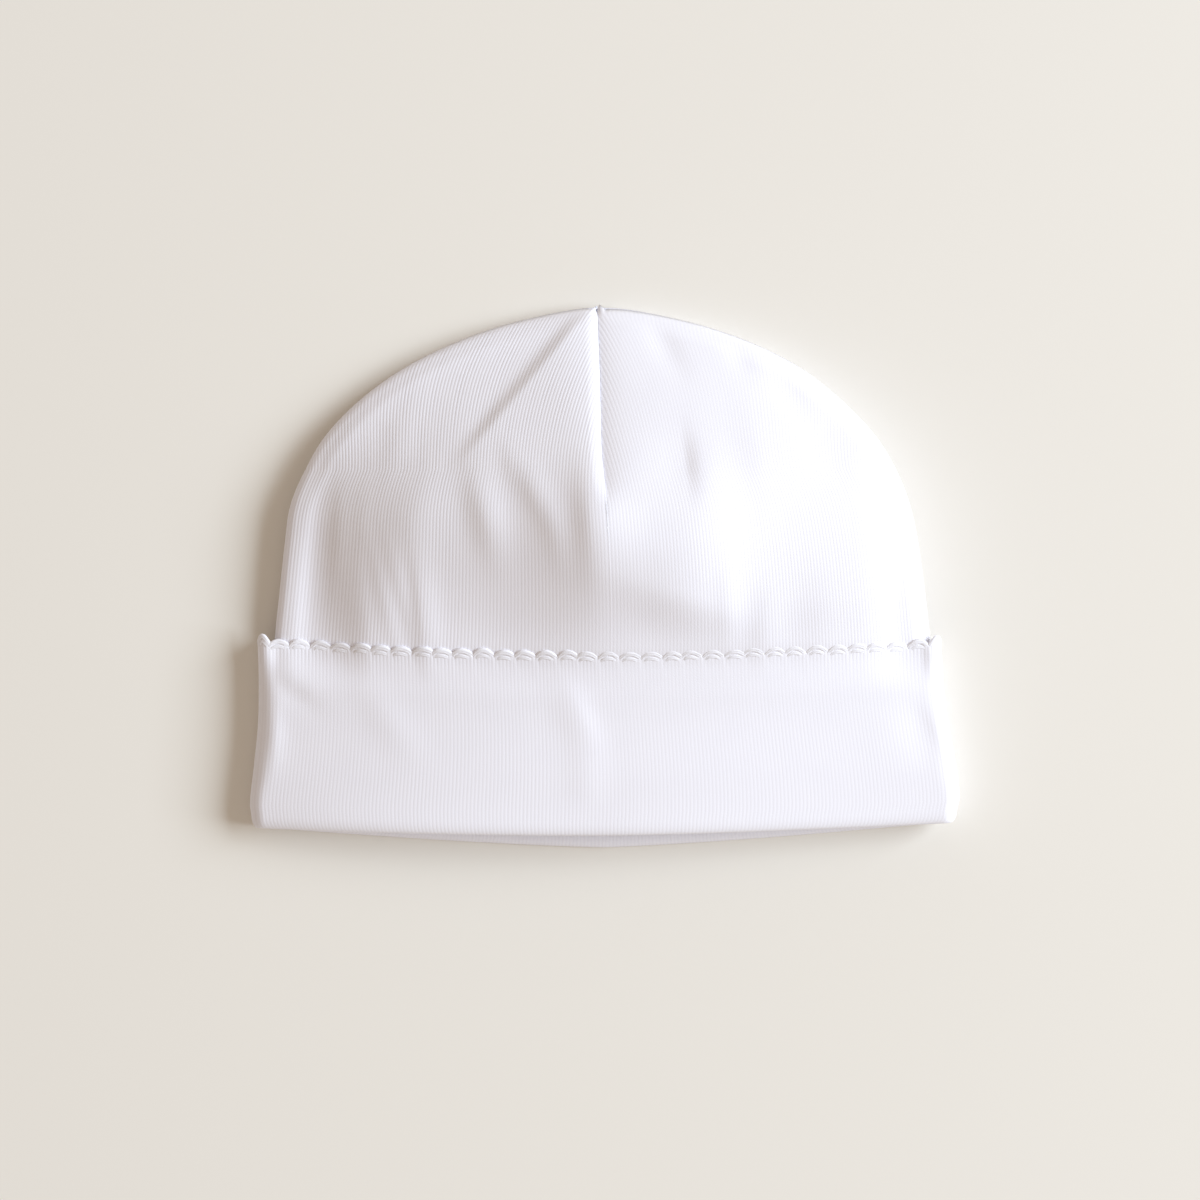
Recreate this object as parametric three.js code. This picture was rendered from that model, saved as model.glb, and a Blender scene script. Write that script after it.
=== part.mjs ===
// A newborn's rib-knit cotton beanie with a turned-up cuff and a picot edge, lying flat on its back.
// Millimetres. +X is to the right across the beanie, +Y runs from the open mouth to the crown's point,
// and +Z is up from the surface that it lies on. The origin is the middle of its footprint.
//
// The cloth is followed by two numbers. "along" counts rows of SECTIONS from the mouth, 0, to the point,
// and "offset" is how far out from the crown's outer face a layer lies, so the crown's wall goes from
// -WALL to 0, and the cuff's from LAYER_GAP to LAYER_GAP + WALL.
import * as THREE from "three";

const WALL = 1.2; // the rib knit
const LAYER_GAP = 0.35; // air between the crown and the cuff turned up over it
const CUFF_FACE = LAYER_GAP + WALL;
const PIECE_GAP = 0.3; // clearance where two pieces meet edge to edge
const SIDE_FOLD = 1.6; // half the thickness of the flattened crown at its side folds
const NOSE = 1.9; // how far in from the outline a side fold takes to reach that thickness

const MOUTH_Y = -53.0; // where the cloth starts to turn, at the two corners of the mouth
const MOUTH_REACH = 2.8; // how far past that the turn reaches
const CUFF_TOP_Y = -16.2; // the cuff's raw edge, at the side folds
const PICOT_BASE_Y = CUFF_TOP_Y + PIECE_GAP;
const PICOT_VALLEY = 1.1; // height of the picot edge between two scallops
const PICOT_PEAK = 2.3; // and at the top of one
const PICOT_THICK = 1.2;
const SCALLOPS = 68;

// The crown flattened: how far it reaches to the left and right of the middle line, and the heights of its
// front wall (top), of the line of its side folds (edge) and of its back wall (under). "roundLeft" and
// "roundRight" say how the front wall rises to its top: 1 is a ridge tent, and 2 a dome. "swellRight" is
// less than 1 where the right side is full and falls steeply at its edge. The cuff is turned up over the
// first four rows, so the back wall lies on the cuff's there.
const SECTIONS = [
  { y: -53.6, left: 77.9, right: 77.9, top: 10.8, edge: 3.2, under: CUFF_FACE,
    roundLeft: 2.4, roundRight: 1.6, swellRight: 1.0 },
  { y: -42.0, left: 76.9, right: 77.0, top: 11.0, edge: 3.2, under: CUFF_FACE,
    roundLeft: 2.4, roundRight: 1.7, swellRight: 0.95 },
  { y: -28.0, left: 75.5, right: 75.3, top: 11.6, edge: 3.3, under: CUFF_FACE,
    roundLeft: 2.1, roundRight: 2.0, swellRight: 0.85 },
  { y: -12.5, left: 74.2, right: 73.6, top: 13.9, edge: 3.7, under: CUFF_FACE,
    roundLeft: 1.45, roundRight: 3.0, swellRight: 0.65 },
  { y: -3.0, left: 73.2, right: 72.5, top: 16.0, edge: 4.1, under: 0.3,
    roundLeft: 1.25, roundRight: 3.6, swellRight: 0.5 },
  { y: 7.0, left: 72.1, right: 70.8, top: 17.2, edge: 4.3, under: 0.1,
    roundLeft: 1.2, roundRight: 4.0, swellRight: 0.45 },
  { y: 16.0, left: 70.8, right: 68.6, top: 17.3, edge: 4.3, under: 0.0,
    roundLeft: 1.2, roundRight: 4.0, swellRight: 0.45 },
  { y: 24.0, left: 67.6, right: 65.6, top: 16.5, edge: 4.0, under: 0.0,
    roundLeft: 1.25, roundRight: 3.6, swellRight: 0.45 },
  { y: 32.0, left: 63.0, right: 60.9, top: 14.3, edge: 3.5, under: 0.0,
    roundLeft: 1.3, roundRight: 3.2, swellRight: 0.5 },
  { y: 40.0, left: 55.4, right: 53.5, top: 11.9, edge: 3.0, under: 0.0,
    roundLeft: 1.35, roundRight: 2.8, swellRight: 0.6 },
  { y: 47.0, left: 45.9, right: 44.8, top: 9.3, edge: 2.6, under: 0.0,
    roundLeft: 1.4, roundRight: 2.5, swellRight: 0.7 },
  { y: 52.5, left: 35.2, right: 34.6, top: 7.2, edge: 2.4, under: 0.1,
    roundLeft: 1.5, roundRight: 2.2, swellRight: 0.8 },
  { y: 56.6, left: 24.4, right: 23.6, top: 5.9, edge: 2.3, under: 0.3,
    roundLeft: 1.6, roundRight: 2.0, swellRight: 0.9 },
  { y: 59.2, left: 14.4, right: 13.2, top: 5.0, edge: 2.3, under: 0.5,
    roundLeft: 1.8, roundRight: 1.9, swellRight: 1.0 },
  { y: 60.7, left: 6.6, right: 5.0, top: 4.4, edge: 2.3, under: 0.6,
    roundLeft: 2.0, roundRight: 2.0, swellRight: 1.1 },
  { y: 61.2, left: 1.4, right: -1.0, top: 4.1, edge: 2.3, under: 0.7,
    roundLeft: 2.0, roundRight: 2.0, swellRight: 1.1 },
];
const DOME_TIP = SECTIONS.length - 1;
const SWELL_LEFT = 1.15; // as swellRight is, for the left side everywhere
const CROWN_SOFTNESS = 0.06; // the share of the width over which the middle of the front is rounded
const LEFT_RISE = 0.9; // how much higher the left side fold lies than the table says
const RIGHT_RISE = 0.17; // the same for the right one, as a share of the top's height

// How far the cuff's outer face reaches to the left and right. It stands a little off the crown there.
const CUFF_SIDES = [
  { y: -53.6, left: 79.6, right: 79.2 },
  { y: -50.0, left: 80.0, right: 79.9 },
  { y: -42.0, left: 79.1, right: 79.0 },
  { y: -33.0, left: 78.2, right: 77.4 },
  { y: -24.0, left: 78.0, right: 76.7 },
  { y: -13.0, left: 78.2, right: 76.5 },
];

// Where the middle line of the front lies across the beanie. Above y = 15 it is the front dart.
const CENTRE_LINE = [
  { y: -30.0, x: 0.2 },
  { y: -14.0, x: 1.4 },
  { y: 2.0, x: 1.2 },
  { y: 16.0, x: 0.3 },
  { y: 28.0, x: -0.9 },
  { y: 44.0, x: -1.3 },
  { y: 61.2, x: -1.9 },
];

// Ridges and dents of the crown's front wall. Each lies along a straight line through x, y that leans
// "lean" degrees to the right of +Y and fades beyond "reach" each way. "left" and "right" are the widths
// of its two flanks, and "rise" is its height, negative for a dent. "blunt" is 2 where it fades gently at
// its ends, and more where it stops short.
const CROWN_FOLDS = [
  // the front dart's groove, and the pucker under its lower end
  { x: -0.7, y: 39.0, lean: -2, reach: 23, left: 1.4, right: 3.0, rise: -0.9, blunt: 4 },
  { x: -2.8, y: 14.0, lean: -4, reach: 11, left: 3.8, right: 8.0, rise: 0.9, blunt: 2 },
  // the crease that runs down to the left from the point, the edge of a loose flap
  { x: -16.5, y: 43.7, lean: 39.5, reach: 21, left: 2.1, right: 14.0, rise: 1.0, blunt: 6 },
  // the middle, drawn over to the right
  { x: 8.0, y: 1.0, lean: 0, reach: 19, left: 19.0, right: 120.0, rise: 1.9, blunt: 2 },
  { x: 1.0, y: 19.0, lean: -3, reach: 20, left: 27.0, right: 24.0, rise: 2.7, blunt: 2 },
  // the left side: a shelf beside the fold, a steep rise in two steps, and gathers above the cuff
  { x: -65.0, y: 0.0, lean: 4, reach: 19, left: 4.0, right: 4.5, rise: -0.9, blunt: 2 },
  { x: -52.5, y: -10.0, lean: -3, reach: 11, left: 5.5, right: 12.0, rise: 1.3, blunt: 2 },
  { x: -53.0, y: 8.0, lean: 4, reach: 15, left: 9.0, right: 70.0, rise: 1.4, blunt: 2 },
  { x: -39.0, y: 12.0, lean: 6, reach: 17, left: 17.0, right: 70.0, rise: 3.2, blunt: 2 },
  { x: -40.5, y: -7.0, lean: -6, reach: 10, left: 2.0, right: 3.5, rise: 0.42, blunt: 2 },
  { x: -33.0, y: 28.0, lean: 18, reach: 14, left: 9.0, right: 8.0, rise: 0.5, blunt: 2 },
  // drapes between the crease's end and the dart
  { x: -26.5, y: 15.0, lean: -15, reach: 10, left: 3.6, right: 4.5, rise: 0.75, blunt: 2 },
  { x: -15.5, y: 19.0, lean: -22, reach: 7.5, left: 2.6, right: 3.2, rise: 0.42, blunt: 2 },
  // the right side: a hollow beside the dart, a swell above the cuff and dents below the outline
  { x: 17.5, y: 25.0, lean: -6, reach: 7, left: 7.5, right: 2.6, rise: -0.7, blunt: 2 },
  { x: 35.0, y: 27.0, lean: -10, reach: 12, left: 5.0, right: 9.0, rise: 0.4, blunt: 2 },
  { x: 14.0, y: -3.5, lean: -70.5, reach: 14, left: 6.0, right: 26.0, rise: 2.5, blunt: 2 },
  { x: 24.0, y: 12.0, lean: -3, reach: 16, left: 8.0, right: 5.0, rise: 0.4, blunt: 2 },
  { x: 65.5, y: -2.0, lean: -3, reach: 26, left: 4.0, right: 4.0, rise: -0.5, blunt: 2 },
  { x: 41.5, y: 41.0, lean: -35, reach: 7, left: 3.5, right: 3.5, rise: -0.4, blunt: 2 },
  { x: 50.0, y: 29.0, lean: -20, reach: 9, left: 6.0, right: 6.0, rise: -0.5, blunt: 2 },
];

const FOLDS_FROM_Y = -26.0; // under the cuff the front is smooth below this
const FOLDS_FULL_Y = -18.0; // and has its folds in full above this
const SIDE_CALM = 5.0; // how far in from the outline the folds take to reach their full height

// How the cuff's front stands off the crown, in the same columns. It never goes below touching.
const CUFF_REST = 0.5;
const CUFF_FREE = 12.0; // how far above the turn it takes to stand off in full
const EDGE_SINK = 0.25; // how much nearer to the crown its raw edge lies
const SINK_REACH = 9.0; // how far below that edge it starts to come nearer
const CUFF_FOLDS = [
  { x: -5.5, y: -29.0, lean: -25, reach: 8, left: 4.5, right: 3.0, rise: 0.36, blunt: 2 },
  { x: -1.0, y: -43.0, lean: -8, reach: 10, left: 5.0, right: 4.0, rise: 0.26, blunt: 2 },
  { x: -74.5, y: -35.0, lean: 0, reach: 6, left: 2.0, right: 2.5, rise: 0.3, blunt: 2 },
  { x: -70.0, y: -25.5, lean: -60, reach: 6, left: 2.0, right: 2.0, rise: -0.3, blunt: 2 },
  { x: 72.0, y: -35.0, lean: -35, reach: 8, left: 5.0, right: 3.0, rise: -0.35, blunt: 2 },
  { x: -48.0, y: -31.0, lean: -40, reach: 9, left: 4.0, right: 4.0, rise: 0.25, blunt: 2 },
];

// The back dart, which lifts the back wall off the surface along its groove.
const BACK_FOLDS = [
  { x: -1.0, y: 40.5, lean: -1, reach: 23, left: 2.0, right: 2.0, rise: 1.3, blunt: 4 },
];

// How far the middle of each edge hangs below its two ends, which the flattened sides hold up. A power near
// 1 hangs in a V, and one near 2 in an even curve.
const MOUTH_DROP_FRONT = 2.6;
const MOUTH_DROP_BACK = 5.5;
const FRONT_SAG_POWER = 1.5;
const BACK_SAG_POWER = 1.25;
const CUFF_TOP_DROP = 2.9;
const DROP_ENDS_Y = 12.0; // above this the crown hangs straight
const SKEW = 0.008; // the right side of the mouth lies this much higher for each millimetre across
const HANG_BLEND = 2.5; // above and below the side folds' line, where the two edges' hangs meet

const BACK_FULLNESS = 1.12; // with the power below, how soon the back wall leaves its side folds
const BACK_POWER = 6;

const FRONT_STATIONS = 13; // on each side of the middle
const BACK_STATIONS = 7;
const FRONT_CROWDING = 1.6; // above 1, stations crowd to the middle as well as to the side folds
const RINGS_PER_SECTION = 2;
const CUFF_RINGS = 6;
const TURN_STEPS = 4; // facets round the fold at the mouth
const SCALLOP_STEPS = 4;
const MEASURING_STEPS = 2000; // short lengths that the cuff's top edge is measured in
const HALVINGS = 40; // of the stretch of a table in which a row number is looked for

function smoothstep(low, high, value) {
  return THREE.MathUtils.smoothstep(value, low, high);
}

// A smooth curve through a table's rows, at a row number that need not be whole.
function tableAt(table, along) {
  const last = table.length - 1;
  const row = Math.min(Math.max(Math.floor(along), 0), last - 1);
  const f = along - row;
  const near = (i) => table[Math.min(Math.max(i, 0), last)];
  const [a, b, c, d] = [near(row - 1), near(row), near(row + 1), near(row + 2)];
  const made = {};
  for (const key of Object.keys(b)) {
    const startSlope = row === 0 ? c[key] - b[key] : (c[key] - a[key]) / 2;
    const endSlope = row === last - 1 ? c[key] - b[key] : (d[key] - b[key]) / 2;
    made[key] =
      b[key] * (1 + 2 * f) * (1 - f) ** 2 +
      startSlope * f * (1 - f) ** 2 +
      c[key] * f * f * (3 - 2 * f) +
      endSlope * f * f * (f - 1);
  }
  return made;
}

// The row number at which a table's curve reaches a given y.
function alongAt(table, y) {
  let [low, high] = [0, table.length - 1];
  for (let i = 0; i < HALVINGS; i += 1) {
    const middle = (low + high) / 2;
    if (tableAt(table, middle).y < y) low = middle;
    else high = middle;
  }
  return (low + high) / 2;
}

function foldHeight(folds, x, y) {
  let height = 0;
  for (const fold of folds) {
    const lean = THREE.MathUtils.degToRad(fold.lean);
    const across = (x - fold.x) * Math.cos(lean) - (y - fold.y) * Math.sin(lean);
    const down = (x - fold.x) * Math.sin(lean) + (y - fold.y) * Math.cos(lean);
    const flank = across < 0 ? fold.left : fold.right;
    const fade = Math.abs(down / fold.reach) ** fold.blunt;
    height += fold.rise * Math.exp(-((across / flank) ** 2) - fade);
  }
  return height;
}

// The outline's outward direction in plan at a row number, as its share across and its share upwards.
function outlineNormal(along) {
  const step = 0.05;
  const before = tableAt(SECTIONS, Math.max(along - step, 0));
  const after = tableAt(SECTIONS, Math.min(along + step, DOME_TIP));
  const wider = (after.left + after.right - before.left - before.right) / 2;
  const up = after.y - before.y;
  const length = Math.hypot(wider, up);
  return { across: up / length, up: -wider / length };
}

// How far the front wall is raised or dented, the same for every layer there so that none meets another.
function frontRelief(x, y, isCuff) {
  const crownRelief = foldHeight(CROWN_FOLDS, x, y) * smoothstep(FOLDS_FROM_Y, FOLDS_FULL_Y, y);
  if (!isCuff) return crownRelief;
  const free = smoothstep(MOUTH_Y, MOUTH_Y + CUFF_FREE, y);
  const raised = Math.max(CUFF_REST + foldHeight(CUFF_FOLDS, x, y), 0) * free;
  return crownRelief + raised - EDGE_SINK * smoothstep(CUFF_TOP_Y - SINK_REACH, CUFF_TOP_Y, y);
}

// Lets the middles of the mouth and of the cuff's top edge hang lower than their ends.
function hang(point, station, edge) {
  const front = smoothstep(-HANG_BLEND, HANG_BLEND, point.z - edge);
  const power = THREE.MathUtils.lerp(BACK_SAG_POWER, FRONT_SAG_POWER, front);
  const bow = 1 - Math.abs(station) ** power;
  const mouthDrop = THREE.MathUtils.lerp(MOUTH_DROP_BACK, MOUTH_DROP_FRONT, front);
  const nearMouth = 1 - smoothstep(MOUTH_Y - 2, CUFF_TOP_Y, point.y);
  const nearTop = 1 - nearMouth - smoothstep(CUFF_TOP_Y, DROP_ENDS_Y, point.y);
  point.y -= bow * (mouthDrop * nearMouth + CUFF_TOP_DROP * nearTop);
  point.y += SKEW * point.x * nearMouth;
  return point;
}

// Half the width and the middle of a layer of the cloth, at a row of SECTIONS.
function widthOf(section, offset, across, isCuff) {
  if (!isCuff) {
    const half = (section.right + section.left) / 2 + offset * across;
    return { half: Math.max(half, 0), middle: (section.right - section.left) / 2 };
  }
  const sides = tableAt(CUFF_SIDES, alongAt(CUFF_SIDES, section.y));
  const half = (sides.right + sides.left) / 2 + (offset - CUFF_FACE) * across;
  return { half, middle: (sides.right - sides.left) / 2 };
}

// The height of the side folds' line, which lies higher towards each end than the table says.
function sideFoldHeight(section, station) {
  const left = LEFT_RISE * Math.max(-station, 0) ** 2;
  return section.edge + left + RIGHT_RISE * section.top * Math.max(station, 0) ** 2;
}

// The share of its full height that the front wall has at a station.
function frontSwell(section, station) {
  const reach = Math.hypot(1, CROWN_SOFTNESS) - CROWN_SOFTNESS;
  const u = Math.min((Math.hypot(station, CROWN_SOFTNESS) - CROWN_SOFTNESS) / reach, 1);
  return station < 0
    ? (1 - u ** section.roundLeft) ** SWELL_LEFT
    : (1 - u ** section.roundRight) ** section.swellRight;
}

// A point of the cloth. station goes from -1 at the left side fold to 1 at the right one.
function clothPoint({ along, station, isFront, offset, beyondMouth = 0, isCuff = false }) {
  const section = tableAt(SECTIONS, along);
  const normal = outlineNormal(along);
  const { half, middle } = widthOf(section, offset, normal.across, isCuff);
  const u = Math.abs(station);
  let x = middle + station * half;
  if (isFront && !isCuff) {
    const centre = tableAt(CENTRE_LINE, alongAt(CENTRE_LINE, section.y)).x;
    x += (centre - middle) * (1 - station ** 2);
  }
  const y = section.y + offset * normal.up;
  const fromSide = (1 - u) * half * normal.across;
  const noseLength = NOSE + offset;
  const lip = (SIDE_FOLD + offset) * Math.sqrt(1 - (1 - Math.min(fromSide / noseLength, 1)) ** 2);
  const edge = sideFoldHeight(section, station);
  let z;
  if (isFront) {
    z = edge + lip + (section.top - edge - SIDE_FOLD) * frontSwell(section, station);
    z += frontRelief(x, y, isCuff) * smoothstep(0, SIDE_CALM, fromSide);
  } else {
    const flatness = Math.min(BACK_FULLNESS * (1 - u ** BACK_POWER), 1);
    z = edge - lip - (edge - section.under - SIDE_FOLD) * flatness;
    z += foldHeight(BACK_FOLDS, x, y) * smoothstep(0, SIDE_CALM, fromSide);
  }
  const point = new THREE.Vector3(x, y, z);
  hang(point, station, edge);
  point.y -= beyondMouth;
  return point;
}

// Stations round a flattened ring: along the front from right to left, and back under the beanie.
function ringStations() {
  const stations = [];
  for (let k = FRONT_STATIONS; k >= -FRONT_STATIONS; k -= 1) {
    const turn = (Math.abs(k) / FRONT_STATIONS) ** FRONT_CROWDING;
    stations.push({ station: Math.sign(k) * Math.sin((Math.PI / 2) * turn), isFront: true });
  }
  for (let k = 1 - BACK_STATIONS; k < BACK_STATIONS; k += 1) {
    const turn = k / BACK_STATIONS;
    stations.push({ station: Math.sin((Math.PI / 2) * turn), isFront: false });
  }
  return stations;
}

// Stations evenly spaced by length round the top of the cuff, a whole number of them to each scallop.
function evenStations(layer, count) {
  const fine = [];
  for (let k = 0; k < MEASURING_STEPS; k += 1) {
    const turn = (2 * k) / MEASURING_STEPS;
    const isFront = turn < 1;
    const angle = Math.PI * (isFront ? turn : turn - 1);
    fine.push({ station: isFront ? Math.cos(angle) : -Math.cos(angle), isFront });
  }
  const points = fine.map((at) => clothPoint({ ...layer, ...at }));
  const lengths = [0];
  points.forEach((point, i) => {
    lengths.push(lengths[i] + point.distanceTo(points[(i + 1) % MEASURING_STEPS]));
  });
  const chosen = [];
  let i = 0;
  for (let k = 0; k < count; k += 1) {
    const wanted = (lengths[MEASURING_STEPS] * k) / count;
    while (lengths[i + 1] < wanted) i += 1;
    chosen.push(fine[i]);
  }
  return chosen;
}

// A closed surface through rings of equally many points. The rings close on themselves as a hose does, or
// the first and the last are each closed with a fan.
function surfaceThrough(rings, isHose) {
  const count = rings[0].length;
  const points = rings.flat();
  const triangles = [];
  const joins = isHose ? rings.length : rings.length - 1;
  for (let r = 0; r < joins; r += 1) {
    const [near, far] = [r * count, ((r + 1) % rings.length) * count];
    for (let i = 0; i < count; i += 1) {
      const j = (i + 1) % count;
      triangles.push(near + i, near + j, far + j, near + i, far + j, far + i);
    }
  }
  if (!isHose) {
    for (const [ring, isFirst] of [[0, true], [rings.length - 1, false]]) {
      const middle = new THREE.Vector3();
      rings[ring].forEach((point) => middle.addScaledVector(point, 1 / count));
      const pole = points.push(middle) - 1;
      for (let i = 0; i < count; i += 1) {
        const [a, b] = [ring * count + i, ring * count + ((i + 1) % count)];
        triangles.push(...(isFirst ? [pole, b, a] : [pole, a, b]));
      }
    }
  }
  const geometry = new THREE.BufferGeometry().setFromPoints(points);
  geometry.setIndex(triangles);
  geometry.computeVertexNormals();
  return geometry;
}

function ringAt(layer) {
  return ringStations().map((at) => clothPoint({ ...layer, ...at }));
}

function evenly(from, to, steps) {
  return Array.from({ length: steps + 1 }, (_, i) => from + ((to - from) * i) / steps);
}

// The crown's one wall: its outer face from the point down to the mouth, and its inner face back up.
function crownGeometry() {
  const start = alongAt(SECTIONS, MOUTH_Y + PIECE_GAP);
  const steps = RINGS_PER_SECTION * DOME_TIP;
  const outer = evenly(DOME_TIP, start, steps).map((along) => ringAt({ along, offset: 0 }));
  const inner = evenly(start, DOME_TIP, steps)
    .slice(0, -1)
    .map((along) => ringAt({ along, offset: -WALL }));
  return surfaceThrough([...outer, ...inner], false);
}

// The cuff: up the outside from the turn to the raw edge, and the turn itself, which meets the crown's end.
function cuffGeometry() {
  const start = alongAt(SECTIONS, MOUTH_Y);
  const top = alongAt(SECTIONS, CUFF_TOP_Y);
  const middle = LAYER_GAP / 2;
  const turn = (radius, reach, angle) =>
    ringAt({
      along: start,
      offset: middle + radius * Math.cos(angle),
      beyondMouth: reach * Math.sin(angle),
      isCuff: true,
    });
  const outerTurn = evenly(0, Math.PI, TURN_STEPS).map((angle) =>
    turn(middle + WALL, MOUTH_REACH, angle),
  );
  const innerTurn = evenly(Math.PI, 0, TURN_STEPS).map((angle) =>
    turn(middle, MOUTH_REACH - WALL, angle),
  );
  const face = (from, to, offset) =>
    evenly(from, to, CUFF_RINGS).map((along) => ringAt({ along, offset, isCuff: true }));
  const rings = [
    ...face(top, start, CUFF_FACE).slice(0, -1),
    ...outerTurn,
    ...innerTurn,
    ...face(start, top, LAYER_GAP).slice(1),
  ];
  return surfaceThrough(rings, true);
}

// The picot edge: a strip that stands on the cuff's raw edge, its top drawn up into scallops.
function picotGeometry() {
  const base = alongAt(SECTIONS, PICOT_BASE_Y);
  const middle = { along: base, offset: LAYER_GAP + PICOT_THICK / 2, isCuff: true };
  const stations = evenStations(middle, SCALLOPS * SCALLOP_STEPS);
  const profile = [
    { share: 0, offset: LAYER_GAP + PICOT_THICK },
    { share: 0, offset: LAYER_GAP },
    { share: 0.8, offset: LAYER_GAP },
    { share: 1, offset: LAYER_GAP + PICOT_THICK / 2 },
    { share: 0.8, offset: LAYER_GAP + PICOT_THICK },
  ];
  const rings = profile.map(({ share, offset }) =>
    stations.map((at, i) => {
      const arch = Math.abs(Math.sin((Math.PI * i) / SCALLOP_STEPS));
      const height = PICOT_VALLEY + (PICOT_PEAK - PICOT_VALLEY) * arch;
      const along = alongAt(SECTIONS, PICOT_BASE_Y + share * height);
      return clothPoint({ along, ...at, offset, isCuff: true });
    }),
  );
  return surfaceThrough(rings, true);
}

function knit(colour) {
  return new THREE.MeshStandardMaterial({ color: colour, roughness: 0.9, metalness: 0 });
}

function piece(name, geometry, material) {
  const mesh = new THREE.Mesh(geometry, material);
  mesh.name = name;
  return mesh;
}

const beanie = new THREE.Group();
beanie.add(
  piece("crown", crownGeometry(), knit(0xf7f6f8)),
  piece("cuff", cuffGeometry(), knit(0xf7f6f8)),
  piece("picot_edge", picotGeometry(), knit(0xfbfbfc)),
);

export default beanie;
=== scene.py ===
"""A newborn's rib-knit cotton beanie with a turned-up cuff and a picot edge, lying flat on its back.

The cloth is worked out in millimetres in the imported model's frame: +X to the right across the beanie, +Y
from the open mouth to the crown's point, and +Z up from the floor. Meshes are made in metres.

Three numbers place a point of the cloth. "along" counts rows of SECTIONS from the mouth, 0, to the point.
"turn" goes round the flattened beanie by length of cloth: 0 is the left side fold, 1 the middle of the
front, 2 the right side fold, 3 the middle of the back, and 4 the left side fold again. "offset" is how far
out from the crown's outer face a layer lies.
"""

from __future__ import annotations

import logging
import math
from dataclasses import astuple, dataclass, fields
from enum import Enum

import bmesh
import bpy
import numpy as np
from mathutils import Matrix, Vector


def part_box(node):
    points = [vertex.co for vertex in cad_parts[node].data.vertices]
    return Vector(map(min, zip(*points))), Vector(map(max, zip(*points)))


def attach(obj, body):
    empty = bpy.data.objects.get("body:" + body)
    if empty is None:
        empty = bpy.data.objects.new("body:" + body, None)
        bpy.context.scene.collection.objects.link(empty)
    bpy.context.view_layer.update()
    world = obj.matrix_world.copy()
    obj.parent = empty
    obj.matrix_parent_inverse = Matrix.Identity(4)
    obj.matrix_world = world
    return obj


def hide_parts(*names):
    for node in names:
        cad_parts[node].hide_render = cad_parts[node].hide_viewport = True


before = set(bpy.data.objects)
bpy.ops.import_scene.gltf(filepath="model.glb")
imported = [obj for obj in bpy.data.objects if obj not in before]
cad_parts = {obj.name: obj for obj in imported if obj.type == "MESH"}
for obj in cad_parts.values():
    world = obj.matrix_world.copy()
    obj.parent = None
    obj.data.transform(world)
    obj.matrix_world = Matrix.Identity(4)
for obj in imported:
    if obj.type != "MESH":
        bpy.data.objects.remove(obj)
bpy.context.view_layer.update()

log = logging.getLogger("beanie")

Array = np.ndarray

CUFF_SPAN = 159.6  # across the cuff, in the millimetres of the tables below
cuff_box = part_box("cuff")
METRES = (cuff_box[1][0] - cuff_box[0][0]) / CUFF_SPAN  # in one of those millimetres
LEAST_Z = 0.03  # how far the lowest cloth stays off the floor

WALL = 1.2  # the rib knit
LAYER_GAP = 0.35  # air between the crown and the cuff turned up over it
CUFF_FACE = LAYER_GAP + WALL
MOUTH_Y = -53.0  # where the cloth starts to turn, at the two corners of the mouth
MOUTH_REACH = 2.8  # how far past that the turn reaches
CUFF_TOP_Y = -16.2  # the cuff's raw edge, at the side folds
SPLIT_Y = -30.0  # where the crown's pieces meet the cuff's inner leg, out of sight in the hollow
SIDE_SEAM_TIP_Y = 24.0
POINT_Y = 61.2

RIBS = 388  # ridges round the beanie
QUARTER = RIBS / 4
COLUMNS_PER_RIB = 3
COURSE = 0.62  # height of one knitted loop
SCALLOPS = 68
WALL_LEVELS = 12  # thicknesses that a wall can have
LEAST_LENGTH = 1e-6  # a length or a count of ribs is never divided by less
LEAST_VECTOR = 1e-9


@dataclass(frozen=True)
class Section:
    """A flattened ring of the crown: its reach to the left and right, and the heights of its walls.

    The front swells evenly to its middle where a round is 1, and like a pillow where it is more.
    """

    y: float
    left: float
    right: float
    top: float  # the middle of the front
    edge: float  # the side folds
    under: float  # the back
    round_left: float
    round_right: float
    swell_right: float  # less than 1 where the right side is full and falls steeply at its edge


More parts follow.
